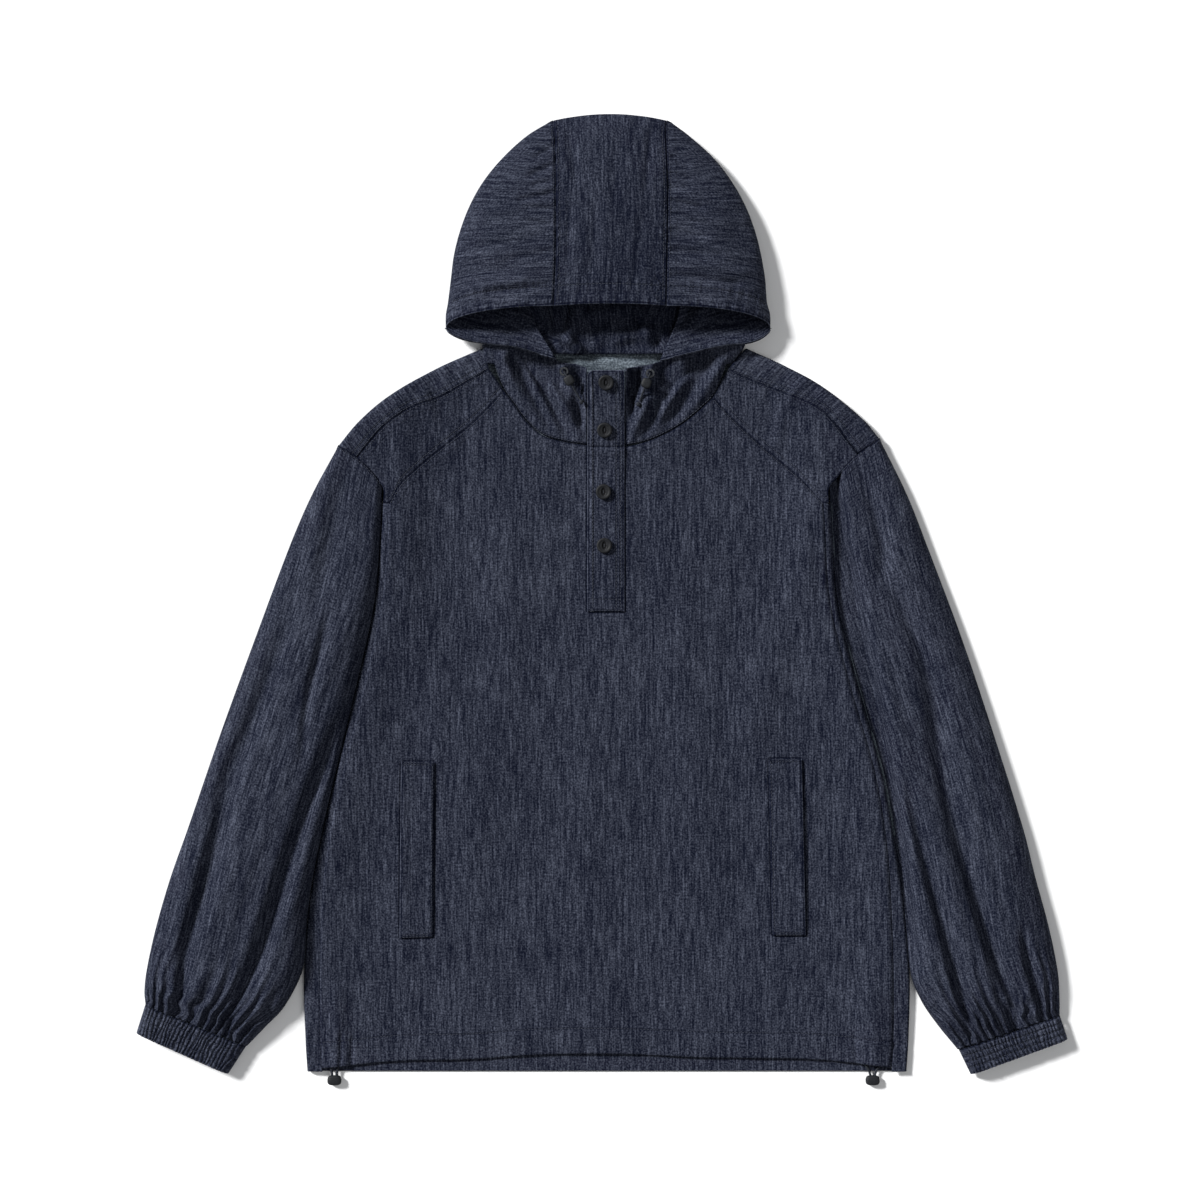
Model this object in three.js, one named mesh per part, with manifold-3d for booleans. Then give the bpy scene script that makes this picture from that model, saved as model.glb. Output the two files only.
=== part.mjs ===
// A hooded anorak pullover in light denim, laid flat on its back with the hood opening showing.
// Millimetres, +Z up from the surface it lies on. X is across the body, Y runs up to the hood.
import * as THREE from 'three';
import Module from 'manifold-3d';
import { mergeVertices } from 'three/addons/utils/BufferGeometryUtils.js';

const wasm = await Module();
wasm.setup();

// Driving dimensions.
const CLOTH = 1.2;            // wall of one layer
const HOOD_CLOTH = 1.6;       // hood wall, doubled by its hems
const SEAM_GAP = 0.3;         // between two pieces at a seam
const BODY_HEIGHT = 4.0;      // outer face of the front over the floor, mid body
const CASING = 26;            // turned-up hem
const CASING_RAISE = 0.7;
const YOKE_SEAM_Y = 97;       // back yoke to back body
const PLACKET_WIDTH = 37.2;
const PLACKET_TOP = 229;
const PLACKET_FOOT = -12;
const STAND_WIDTH = 27;
const NECK_Y = 153;           // centre front neckline
const BUTTON_DIAMETER = 15.4;
const BUTTON_HEIGHT = 3.2;
const WELT_WIDTH = 33;
const WELT_CLOTH = 1.7;
const WELT_GAP = 0.8;
const HEM_CORD = 2.4;
const HEM_CORD_STEPS = 18;
const HOOD_CORD = 2;
const KNOT_RADIUS = 2.4;
const CUFF_RIBS = 27;
const CUFF_RIB_DEPTH = 1.7;
const CUFF_HEIGHT = 15;

const DENIM = { color: 0x262d40, roughness: 0.92, metalness: 0 };
const BUTTON_PLASTIC = { color: 0x15171d, roughness: 0.45, metalness: 0 };
const CORD_GREY = { color: 0x2a2d36, roughness: 0.85, metalness: 0 };
const LOCK_PLASTIC = { color: 0x2b2f36, roughness: 0.5, metalness: 0 };
const EYELET_METAL = { color: 0x6d737c, roughness: 0.35, metalness: 0.9 };

const anorak = new THREE.Group();

// Numbers that vary along the garment are read from short tables with named columns.
const { clamp, lerp, smoothstep } = THREE.MathUtils;

function column(rows, key, value) {
  const sorted = [...rows].sort((a, b) => a[key] - b[key]);
  const slope = (i) => {
    const before = sorted[Math.max(i - 1, 0)];
    const after = sorted[Math.min(i + 1, sorted.length - 1)];
    return (after[value] - before[value]) / (after[key] - before[key]);
  };
  return (at) => {
    const t = clamp(at, sorted[0][key], sorted[sorted.length - 1][key]);
    let i = 0;
    while (i < sorted.length - 2 && sorted[i + 1][key] < t) i += 1;
    const span = sorted[i + 1][key] - sorted[i][key];
    const s = (t - sorted[i][key]) / span;
    const start = sorted[i][value] + s * s * (3 - 2 * s) * (sorted[i + 1][value] - sorted[i][value]);
    const bend = s * (1 - s) * (1 - s) * slope(i) - s * s * (1 - s) * slope(i + 1);
    return start + bend * span;
  };
}

function through(points) {
  const curve = new THREE.CatmullRomCurve3(points.map((p) => new THREE.Vector3(...p)), false, 'centripetal');
  return (at) => curve.getPointAt(clamp(at, 0, 1));
}

const round = (distance, radius) => Math.sqrt(1 - (1 - clamp(distance / radius, 0, 1)) ** 2);
const bump = (offset, width) => Math.exp(-((offset / width) ** 2));

// Body outline, the fold at each side, and how far in from it the side seam runs.
const SIDES = [
  { y: 115, left: -223, right: 223, seam: 7, puff: 7 },
  { y: 70, left: -225, right: 226, seam: 7, puff: 7 },
  { y: 0, left: -231, right: 231, seam: 7, puff: 6 },
  { y: -80, left: -248, right: 250, seam: 7, puff: 6 },
  { y: -172, left: -270, right: 276, seam: 7, puff: 6 },
  { y: -243, left: -286, right: 289, seam: 8, puff: 5 },
  { y: -300, left: -296.5, right: 297.5, seam: 12, puff: 4 },
  { y: -375, left: -302.5, right: 304, seam: 16, puff: 3 },
  { y: -440, left: -301, right: 303, seam: 15, puff: 1.6 },
  { y: -472, left: -299, right: 301, seam: 15, puff: 1.2 },
];
const sideLeft = column(SIDES, 'y', 'left');
const sideRight = column(SIDES, 'y', 'right');
const sideSeam = column(SIDES, 'y', 'seam');
const sidePuff = column(SIDES, 'y', 'puff');

// Front hem edge, drawn up a little towards the middle; the back hem hangs straight behind it.
const HEM = [
  { x: -300, y: -471 }, { x: -262, y: -467 }, { x: -209, y: -462 }, { x: -131, y: -460 },
  { x: -66, y: -455.5 }, { x: 14, y: -455 }, { x: 102, y: -458.6 }, { x: 200, y: -460 },
  { x: 258, y: -465 }, { x: 301, y: -471 },
];
const BACK_HEM_Y = -472;
const hemEdge = column(HEM, 'x', 'y');

// Soft ridges on the body, straight runs from one end to the other.
const BODY_RIDGES = [
  { x0: -205, y0: 60, x1: -165, y1: -110, rise: 2, width: 28 },
  { x0: 205, y0: 70, x1: 150, y1: -120, rise: 2.4, width: 22 },
  { x0: -95, y0: 60, x1: -120, y1: -210, rise: 1.4, width: 26 },
  { x0: 80, y0: 20, x1: 95, y1: -260, rise: 1.5, width: 26 },
  { x0: -20, y0: -200, x1: -10, y1: -420, rise: 1.2, width: 30 },
  { x0: -185, y0: 205, x1: -160, y1: 165, rise: 1.8, width: 10 },
  { x0: 185, y0: 215, x1: 172, y1: 160, rise: 2.2, width: 8 },
  { x0: -270, y0: -400, x1: -267, y1: -468, rise: 2.6, width: 9 },
  { x0: 266, y0: -400, x1: 267, y1: -468, rise: 2.8, width: 15 },
];

function ridges(x, y, rows) {
  let height = 0;
  for (const row of rows) {
    const length = Math.hypot(row.x1 - row.x0, row.y1 - row.y0);
    const dx = (row.x1 - row.x0) / length;
    const dy = (row.y1 - row.y0) / length;
    const run = (x - row.x0) * dx + (y - row.y0) * dy;
    const past = Math.max(0, -run, run - length);
    const aside = (x - row.x0) * dy - (y - row.y0) * dx;
    height += row.rise * bump(aside, row.width) * bump(past, row.width * 1.6);
  }
  return height;
}

// Shoulder fold: the outline from the neck notch to the sleeve head, and the yoke's front seam.
const SHOULDER = {
  left: { fold: [[-122.5, 252.5, 0], [-171, 231, 0], [-219, 203, 0], [-248, 178, 0], [-268, 154, 0]],
    seam: [[-117, 231, 0], [-167, 203, 0], [-194, 193, 0], [-222, 174, 0], [-249, 142.5, 0]] },
  right: { fold: [[140, 252, 0], [178, 235, 0], [216, 214, 0], [258, 180, 0], [274, 161, 0]],
    seam: [[122, 231, 0], [145, 220, 0], [176, 208, 0], [215, 190, 0], [252.4, 146, 0]] },
};
const shoulderLeft = column(SHOULDER.left.fold.map(([x, y]) => ({ x, y })), 'x', 'y');
const shoulderRight = column(SHOULDER.right.fold.map(([x, y]) => ({ x, y })), 'x', 'y');

// Sleeve head seam: from the shoulder fold to the underarm, bowed up towards the neck.
const SLEEVE_HEAD = {
  left: { outerX: -268, outerY: 154, innerY: 113, clear: 0.9 },
  right: { outerX: 274, outerY: 161, innerY: 113, clear: 0.9 },
};
const HEAD_BOW = 60;
const HEAD_BOW_OUT = 0.45;
const headBow = (s) => HEAD_BOW * s * s * (1 - s);
function headSeam(side, s) {
  const { outerX, outerY, innerY, clear } = side < 0 ? SLEEVE_HEAD.left : SLEEVE_HEAD.right;
  const innerX = (side < 0 ? sideLeft(innerY) : sideRight(innerY)) + side * clear;
  const bow = headBow(s);
  const x = lerp(outerX, innerX, s) + side * bow * HEAD_BOW_OUT;
  return new THREE.Vector3(x, lerp(outerY, innerY, s) + bow, 0);
}

// Height of the front's outer face over the floor. Every front panel lies on this one surface.
function bodyTop(x, y) {
  const toSide = Math.min(x - sideLeft(y), sideRight(y) - x);
  const side = sidePuff(y) * bump(Math.max(0, toSide - 9), 34);
  const shoulderY = x < 0 ? shoulderLeft(x) : shoulderRight(x);
  const shoulder = 4.5 * bump(Math.max(0, shoulderY - y - 12), 34);
  const neck = 2.2 * bump(Math.hypot(x / 112, (y - 235) / 82) - 1, 0.3);
  return BODY_HEIGHT + Math.hypot(side, shoulder, neck) + ridges(x, y, BODY_RIDGES);
}

// A cloth wall: a grid of points on its outer face, moved in along the normal for the inner one.
// closed joins the last column to the first, and inside gives the inner face a form of its own.
function clothWall({ across, along, face, thickness = CLOTH, closed = false, inside = null, flip = false }) {
  const columns = Array.isArray(across) ? across : Array.from({ length: across + 1 }, (_, i) => i / across);
  const rows = Array.isArray(along) ? along : Array.from({ length: along + 1 }, (_, j) => j / along);
  if (closed) columns.pop();
  const nu = columns.length;
  const nv = rows.length;
  const outer = rows.map((v) => columns.map((u) => face(u, v)));
  const base = inside ? rows.map((v) => columns.map((u) => inside(u, v))) : outer;
  const inner = base.map((row, j) => row.map((point, i) => {
    const west = closed ? row[(i + nu - 1) % nu] : row[Math.max(i - 1, 0)];
    const east = closed ? row[(i + 1) % nu] : row[Math.min(i + 1, nu - 1)];
    const south = base[Math.max(j - 1, 0)][i];
    const north = base[Math.min(j + 1, nv - 1)][i];
    const across = east.clone().sub(west);
    const normal = new THREE.Vector3().crossVectors(across, north.clone().sub(south)).normalize();
    return point.clone().addScaledVector(normal, flip ? thickness : -thickness);
  }));
  const pull = (grid, j, i, j2, i2) => {
    const way = grid[j2][i2].clone().sub(grid[j][i]);
    const distance = grid === outer ? SEAM_GAP / 2 : SEAM_GAP;
    grid[j][i].addScaledVector(way, distance / way.length());
  };
  for (const grid of [outer, inner]) {
    for (let i = 0; i < nu; i += 1) {
      pull(grid, 0, i, 1, i);
      pull(grid, nv - 1, i, nv - 2, i);
    }
    for (let j = 0; j < nv && !closed; j += 1) {
      pull(grid, j, 0, j, 1);
      pull(grid, j, nu - 1, j, nu - 2);
    }
  }
  const positions = [...outer.flat(), ...inner.flat()].flatMap((p) => [p.x, p.y, p.z]);
  const at = (layer, j, i) => layer * nu * nv + j * nu + (i % nu);
  const index = [];
  const quad = (a, b, c, d) => index.push(...(flip ? [a, c, b, a, d, c] : [a, b, c, a, c, d]));
  const spans = closed ? nu : nu - 1;
  for (let j = 0; j < nv - 1; j += 1) {
    for (let i = 0; i < spans; i += 1) {
      quad(at(0, j, i), at(0, j, i + 1), at(0, j + 1, i + 1), at(0, j + 1, i));
      quad(at(1, j, i), at(1, j + 1, i), at(1, j + 1, i + 1), at(1, j, i + 1));
    }
  }
  for (let i = 0; i < spans; i += 1) {
    quad(at(0, 0, i), at(1, 0, i), at(1, 0, i + 1), at(0, 0, i + 1));
    quad(at(0, nv - 1, i), at(0, nv - 1, i + 1), at(1, nv - 1, i + 1), at(1, nv - 1, i));
  }
  for (let j = 0; j < nv - 1 && !closed; j += 1) {
    quad(at(0, j, 0), at(0, j + 1, 0), at(1, j + 1, 0), at(1, j, 0));
    quad(at(0, j, nu - 1), at(1, j, nu - 1), at(1, j + 1, nu - 1), at(0, j + 1, nu - 1));
  }
  const geometry = new THREE.BufferGeometry();
  geometry.setAttribute('position', new THREE.Float32BufferAttribute(positions, 3));
  geometry.setIndex(index);
  return geometry;
}

function solid(geometry) {
  const plain = geometry.clone();
  plain.deleteAttribute('normal');
  plain.deleteAttribute('uv');
  const merged = mergeVertices(plain, 1e-4);
  const vertProperties = new Float32Array(merged.attributes.position.array);
  const triVerts = new Uint32Array(merged.index.array);
  return new wasm.Manifold(new wasm.Mesh({ numProp: 3, vertProperties, triVerts }));
}

function unsolid(manifold) {
  const mesh = manifold.getMesh();
  const geometry = new THREE.BufferGeometry();
  geometry.setAttribute('position', new THREE.Float32BufferAttribute(mesh.vertProperties, 3));
  geometry.setIndex([...mesh.triVerts]);
  return geometry;
}

function add(name, geometry, finish = DENIM) {
  geometry.computeVertexNormals();
  const mesh = new THREE.Mesh(geometry, new THREE.MeshStandardMaterial({ ...finish, flatShading: true }));
  mesh.name = name;
  anorak.add(mesh);
  return mesh;
}

// A fold at an edge, in section: along the top face to the fold, round it, and back along the floor.
// Gives the distance in from the fold line and the height.
function foldSection(at, flange, height, floorRun) {
  const radius = height / 2;
  const bendStart = 0.35;
  const bendEnd = 0.8;
  if (at < bendStart) return [lerp(flange, radius, at / bendStart), height];
  if (at > bendEnd) return [lerp(radius, floorRun, (at - bendEnd) / (1 - bendEnd)), 0];
  const turn = Math.PI * (0.5 - (at - bendStart) / (bendEnd - bendStart));
  return [radius - radius * Math.cos(turn), radius + radius * Math.sin(turn)];
}
const FOLD_STEPS = [0, 0.35, 0.46, 0.57, 0.68, 0.8, 1];

// Front body: its top edge runs up one yoke seam, round the neckline and down the other.
const FRONT_TOP = [
  [-216, 97], [-204, 117], [-191.5, 129], [-179, 140], [-158, 157], [-137, 174], [-119, 191], [-102, 209],
  [-93, 197], [-79, 180], [-66, 164], [-41, 162], [-20, 155], [0, 153], [23, 154], [41, 159],
  [59, 166], [78, 176], [99, 195], [107, 199], [120, 187], [134, 174], [150, 159], [166, 145],
  [180, 133.5], [193, 122], [216.5, 97],
];
const YOKE_COLUMNS = 7;

// Rows down the front, as shares of the way from its top edge to the hem, with a step at the casing.
const FRONT_ROWS = [0, 0.08, 0.17, 0.27, 0.37, 0.47, 0.56, 0.65, 0.74, 0.82, 0.9, 0.96, 0.97, 1];
const CASING_ROW = 0.965;
function frontY(topY, hemY, v) {
  const casingY = hemY + CASING;
  return v < CASING_ROW ? lerp(topY, casingY, v / 0.96) : lerp(casingY - 2, hemY, (v - 0.97) / 0.03);
}
{
  const columns = FRONT_TOP.map((_, i) => i);
  const share = FRONT_TOP.map(([x, y]) => {
    const west = sideLeft(y) + sideSeam(y);
    return (x - west) / (sideRight(y) - sideSeam(y) - west);
  });
  share[0] = 0;
  share[share.length - 1] = 1;
  const face = (column_, v) => {
    const [topX, topY] = FRONT_TOP[column_];
    const west = (y) => sideLeft(y) + sideSeam(y);
    const east = (y) => sideRight(y) - sideSeam(y);
    const xAt = (y) => lerp(west(y), east(y), share[column_]);
    const y = frontY(topY, hemEdge(xAt(BACK_HEM_Y)), v);
    const x = v === 0 ? topX : xAt(y);
    return new THREE.Vector3(x, y, bodyTop(x, y) + (v > CASING_ROW ? CASING_RAISE : 0));
  };
  const panel = clothWall({ across: columns, along: [...FRONT_ROWS].reverse(), face });
  const slit = new THREE.BoxGeometry(STAND_WIDTH, 180, 60);
  slit.translate(0, -8 + 90, 0);
  add('front_body', unsolid(solid(panel).subtract(solid(slit))));
}

// Front yokes, between the back yoke's front seam and the front body.
{
  const corner = (side) => [side * 222.4, YOKE_SEAM_Y + SEAM_GAP];
  const leftLow = [...FRONT_TOP.slice(0, YOKE_COLUMNS + 1).reverse(), corner(-1)];
  const rightLow = [...FRONT_TOP.slice(-YOKE_COLUMNS - 1), corner(1)];
  for (const [name, low, high, flip] of [
    ['front_yoke_left', leftLow, through(SHOULDER.left.seam), true],
    ['front_yoke_right', rightLow, through(SHOULDER.right.seam), false],
  ]) {
    const side = name.endsWith('left') ? -1 : 1;
    const lowAt = (u) => new THREE.Vector3(...low[Math.round(u * (YOKE_COLUMNS + 1))], 0);
    const sleeveEdge = through([[...corner(side), 0], [side * 222.6, 112, 0],
      ...[0.9, 0.8, 0.7, 0.6, 0.5].map((at) => headSeam(side, at).toArray())]);
    const face = (u, v) => {
      const straight = lowAt(1).lerp(high(1), v);
      const shift = sleeveEdge(v).sub(straight).multiplyScalar(smoothstep(u, 0.5, 1));
      const { x, y } = lowAt(u).lerp(high(u), v).add(shift);
      return new THREE.Vector3(x, y, bodyTop(x, y));
    };
    add(name, clothWall({ across: YOKE_COLUMNS + 1, along: 5, face, flip }));
  }
}

// Back yoke: one piece over both shoulders. A floor sheet, with a fold along each shoulder.
{
  const shape = new THREE.Shape();
  const inset = 5;
  const headClear = 0.8;
  shape.moveTo(-222.5, YOKE_SEAM_Y + SEAM_GAP / 2);
  shape.lineTo(222.5, YOKE_SEAM_Y + SEAM_GAP / 2);
  for (const at of [1, 0.8, 0.6, 0.4, 0.2]) {
    const { x, y } = headSeam(1, at);
    shape.lineTo(x - headClear, y + headClear);
  }
  for (const [x, y] of [...SHOULDER.right.fold].reverse()) shape.lineTo(x - inset, y - inset * 0.6);
  shape.quadraticCurveTo(100, 249.6, 55, 249.6);
  shape.lineTo(-51, 249.6);
  shape.quadraticCurveTo(-90, 249.6, -119.5, 247.5);
  for (const [x, y] of SHOULDER.left.fold.slice(1)) shape.lineTo(x + inset, y - inset * 0.6);
  for (const at of [0.2, 0.4, 0.6, 0.8, 1]) {
    const { x, y } = headSeam(-1, at);
    shape.lineTo(x + headClear, y + headClear);
  }
  const floor = new THREE.ExtrudeGeometry(shape, { depth: CLOTH, bevelEnabled: false, curveSegments: 4 });
  const folds = Object.values(SHOULDER).map((side) => {
    const foldLine = through(side.fold);
    const seamLine = through(side.seam);
    const flip = side === SHOULDER.right;
    const face = (u, v) => {
      const fold = foldLine(u);
      const inward = seamLine(u).sub(fold);
      const flange = inward.length();
      inward.normalize();
      const height = bodyTop(fold.x + inward.x * flange, fold.y + inward.y * flange);
      const [run, z] = foldSection(v, flange, height, height / 2 + 8);
      return fold.addScaledVector(inward, run).setZ(z);
    };
    return clothWall({ across: YOKE_COLUMNS + 1, along: FOLD_STEPS, face, flip: !flip });
  });
  add('back_yoke', unsolid(solid(floor).add(solid(folds[0])).add(solid(folds[1]))));
}

// Back body: the floor layer, folded round at both sides up to the front's side seams.
{
  const floorStops = [0.36, 0.43, 0.5, 0.57, 0.64];
  const left = FOLD_STEPS.map((at) => at * 0.3);
  const stops = [...left, ...floorStops, ...left.map((at) => 1 - at).reverse()];
  const face = (u, v) => {
    const y = v === 1 ? BACK_HEM_Y : frontY(YOKE_SEAM_Y, hemEdge(sideLeft(BACK_HEM_Y)), v);
    const flange = sideSeam(y);
    const west = sideLeft(y);
    const east = sideRight(y);
    const raise = v > CASING_ROW ? CASING_RAISE : 0;
    if (u <= 0.3) {
      const [run, z] = foldSection(u / 0.3, flange, bodyTop(west + flange, y) + raise, 22);
      return new THREE.Vector3(west + run, y, z);
    }
    if (u >= 0.7) {
      const [run, z] = foldSection((1 - u) / 0.3, flange, bodyTop(east - flange, y) + raise, 22);
      return new THREE.Vector3(east - run, y, z);
    }
    return new THREE.Vector3(lerp(west + 22, east - 22, (u - 0.3) / 0.4), y, 0);
  };
  add('back_body', clothWall({ across: stops, along: [...FRONT_ROWS].reverse(), face, flip: true }));
}

// Sleeves. Each row is a section: its outer fold, its inner end measured out from the body's side,
// and its height. The first row is the sleeve head seam and the last is the cuff seam.
const SLEEVE_LEFT = [
  { at: 0, ...SLEEVE_HEAD.left, height: 12.5 },
  { at: 1, outerX: -294, outerY: 106, innerY: 60, clear: 0.9, height: 16 },
  { at: 2, outerX: -315, outerY: 58, innerY: 15, clear: 0.9, height: 20 },
  { at: 4, outerX: -351, outerY: -38, innerY: -80, clear: 0.9, height: 23 },
  { at: 6, outerX: -386, outerY: -134, innerY: -176, clear: 0.9, height: 24 },
  { at: 8, outerX: -419, outerY: -230, innerY: -273, clear: 0.9, height: 25 },
  { at: 9, outerX: -436, outerY: -278, innerY: -322, clear: 0.9, height: 26 },
  { at: 10, outerX: -450, outerY: -326, innerY: -368, clear: 1.5, height: 26 },
  { at: 11, outerX: -459, outerY: -366, innerY: -405, clear: 19, height: 25 },
  { at: 12, outerX: -462, outerY: -390, innerY: -428, clear: 41, height: 22 },
  { at: 13, outerX: -461, outerY: -404.5, innerY: -446, clear: 59, height: 16 },
];
const SLEEVE_RIGHT = [
  { at: 0, ...SLEEVE_HEAD.right, height: 12.5 },
  { at: 1, outerX: 301, outerY: 106, innerY: 60, clear: 0.9, height: 16 },
  { at: 2, outerX: 320, outerY: 58, innerY: 15, clear: 0.9, height: 20 },
  { at: 4, outerX: 356, outerY: -38, innerY: -80, clear: 0.9, height: 23 },
  { at: 6, outerX: 388, outerY: -134, innerY: -176, clear: 0.9, height: 24 },
  { at: 8, outerX: 418, outerY: -230, innerY: -273, clear: 0.9, height: 25 },
  { at: 9, outerX: 430, outerY: -278, innerY: -322, clear: 0.9, height: 26 },
  { at: 10, outerX: 443, outerY: -326, innerY: -372, clear: 1.5, height: 26 },
  { at: 11, outerX: 452, outerY: -370, innerY: -400, clear: 11.5, height: 25 },
  { at: 12, outerX: 454, outerY: -398, innerY: -425, clear: 29, height: 22 },
  { at: 13, outerX: 454, outerY: -415, innerY: -449.5, clear: 50, height: 16 },
];
const LAST_ROW = 13;

// The long folds down each sleeve: where each runs, how much of the height it takes, how wide it is.
const FOLDS_LEFT = [
  [
    { y: 60, x: -300, share: 0, width: 14 }, { y: -6, x: -314, share: 0.2, width: 14 },
    { y: -62, x: -332, share: 0.38, width: 14 }, { y: -127, x: -355, share: 0.45, width: 14 },
    { y: -178, x: -376, share: 0.48, width: 14 }, { y: -238, x: -388, share: 0.5, width: 13 },
    { y: -294, x: -402, share: 0.5, width: 12 }, { y: -341, x: -416, share: 0.45, width: 10 },
    { y: -395, x: -425, share: 0.35, width: 7 },
  ],
  [
    { y: -110, x: -264, share: 0, width: 9 }, { y: -150, x: -276, share: 0.3, width: 10 },
    { y: -188, x: -290, share: 0.45, width: 11 }, { y: -215, x: -300, share: 0.45, width: 11 },
    { y: -262, x: -316, share: 0.48, width: 12 }, { y: -299, x: -327, share: 0.5, width: 12 },
    { y: -341, x: -341, share: 0.5, width: 11 }, { y: -378, x: -356, share: 0.45, width: 9 },
    { y: -415, x: -376, share: 0.35, width: 7 },
  ],
  [
    { y: 150, x: -252, share: 0, width: 12 }, { y: 100, x: -267, share: 0.2, width: 12 },
    { y: 55, x: -276, share: 0.22, width: 12 }, { y: -20, x: -294, share: 0, width: 12 },
  ],
  [
    { y: 0, x: -274, share: 0, width: 6 }, { y: -50, x: -285, share: 0.22, width: 6 },
    { y: -104, x: -297, share: 0.22, width: 6 }, { y: -170, x: -304, share: 0, width: 6 },
  ],
];
const FOLDS_RIGHT = [
  [
    { y: 30, x: 280, share: 0, width: 9 }, { y: -20, x: 302, share: 0.3, width: 11 },
    { y: -53, x: 316, share: 0.4, width: 12 }, { y: -100, x: 328, share: 0.42, width: 13 },
    { y: -150, x: 334, share: 0.42, width: 13 }, { y: -240, x: 353, share: 0.45, width: 12 },
    { y: -330, x: 380, share: 0.48, width: 10 }, { y: -370, x: 393, share: 0.45, width: 8 },
    { y: -410, x: 410, share: 0.35, width: 6 },
  ],
  [
    { y: -165, x: 297, share: 0, width: 8 }, { y: -210, x: 307, share: 0.35, width: 9 },
    { y: -280, x: 325, share: 0.45, width: 9 }, { y: -331, x: 339, share: 0.45, width: 9 },
    { y: -378, x: 351, share: 0.45, width: 8 }, { y: -425, x: 362, share: 0.35, width: 6 },
  ],
  [
    { y: -320, x: 414, share: 0, width: 6 }, { y: -360, x: 421, share: 0.35, width: 6 },
    { y: -408, x: 433, share: 0.35, width: 6 }, { y: -425, x: 434, share: 0.35, width: 6 },
  ],
  [
    { y: 150, x: 246, share: 0, width: 9 }, { y: 100, x: 265, share: 0.28, width: 9 },
    { y: 50, x: 277, share: 0.3, width: 9 }, { y: 10, x: 276, share: 0, width: 9 },
  ],
  [
    { y: 118, x: 227, share: 0.6, width: 6 }, { y: 78, x: 230, share: 0.72, width: 6 },
    { y: 35, x: 235, share: 0.8, width: 9 }, { y: -10, x: 239, share: 0.82, width: 11 },
    { y: -54, x: 249, share: 0.82, width: 11 }, { y: -90, x: 258, share: 0.82, width: 10 },
    { y: -147, x: 272, share: 0.8, width: 7 }, { y: -243, x: 291, share: 0.78, width: 6 },
    { y: -325, x: 303, share: 0.7, width: 6 }, { y: -380, x: 311, share: 0, width: 6 },
  ],
];

function foldShare(x, y, folds) {
  let left = 1;
  for (const fold of folds) left *= 1 - fold.share(y) * bump(x - fold.x(y), fold.width(y));
  return 1 - left;
}

const SILHOUETTE_HEIGHT = 5;   // the outer fold's own mid height

function sleeve(rows, foldRows, side) {
  const read = (value) => column(rows, 'at', value);
  const [outerX, outerY, innerY, clear, height] = ['outerX', 'outerY', 'innerY', 'clear', 'height'].map(read);
  const folds = foldRows.map((fold) => ({
    x: column(fold, 'y', 'x'), share: column(fold, 'y', 'share'), width: column(fold, 'y', 'width'),
  }));
  const innerX = (row) => (side < 0 ? sideLeft(innerY(row)) : sideRight(innerY(row))) + side * clear(row);
  const TOP_SHARE = 0.84;
  const GATHERS = 9;
  const point = (u, row, gathered) => {
    const onTop = u <= TOP_SHARE;
    const q = onTop ? u / TOP_SHARE : (1 - u) / (1 - TOP_SHARE);
    const s = onTop ? lerp(q, 0.5 - 0.5 * Math.cos(Math.PI * q), 0.55) : q;
    const bow = headBow(s) * (1 - smoothstep(row, 0, 1.6));
    const x = lerp(outerX(row), innerX(row), s) + side * bow * HEAD_BOW_OUT;
    const y = lerp(outerY(row), innerY(row), s) + bow;
    const width = Math.hypot(outerX(row) - innerX(row), outerY(row) - innerY(row));
    const outerRadius = lerp(9, 44, smoothstep(row, 0, 3)) * (row > 12 ? lerp(1, 0.5, row - 12) : 1);
    const innerRadius = lerp(7, 30, smoothstep(row, 0, 4)) * (row > 12 ? lerp(1, 0.5, row - 12) : 1);
    const rise = round(s * width, outerRadius) * round((1 - s) * width, innerRadius);
    if (!onTop) {
      const under = 6;
      const z = SILHOUETTE_HEIGHT * (1 - round(Math.min(s, 1 - s) * width, under));
      return new THREE.Vector3(x, y, s < 0.02 || s > 0.98 ? z : 0);
    }
    const fade = smoothstep(row, 10.6, 13);
    const wave = 0.5 - 0.5 * Math.cos(2 * Math.PI * (GATHERS * s + 0.3 * Math.sin(9 * s)));
    const gather = gathered ? 0.3 * fade * wave * round(s * width, 14) * round((1 - s) * width, 14) : 0;
    const kept = (1 - foldShare(x, y, folds)) * (1 - gather);
    return new THREE.Vector3(x, y, SILHOUETTE_HEIGHT + (height(row) - SILHOUETTE_HEIGHT) * rise * kept);
  };
  const across = [...Array.from({ length: 29 }, (_, i) => (i / 28) * TOP_SHARE), 0.875, 0.92, 0.965, 1];
  const along = [0, 0.6, 1.3, 2.3, 3.4, 4.6, 5.8, 7, 8, 9, 9.9, 10.7, 11.4, 12, 12.5, 13];
  return clothWall({
    across, along, closed: true, flip: side > 0,
    face: (u, row) => point(u, LAST_ROW - row, true),
    inside: (u, row) => point(u, LAST_ROW - row, false),
  });
}
add('sleeve_left', sleeve(SLEEVE_LEFT, FOLDS_LEFT, -1));
add('sleeve_right', sleeve(SLEEVE_RIGHT, FOLDS_RIGHT, 1));

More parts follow.
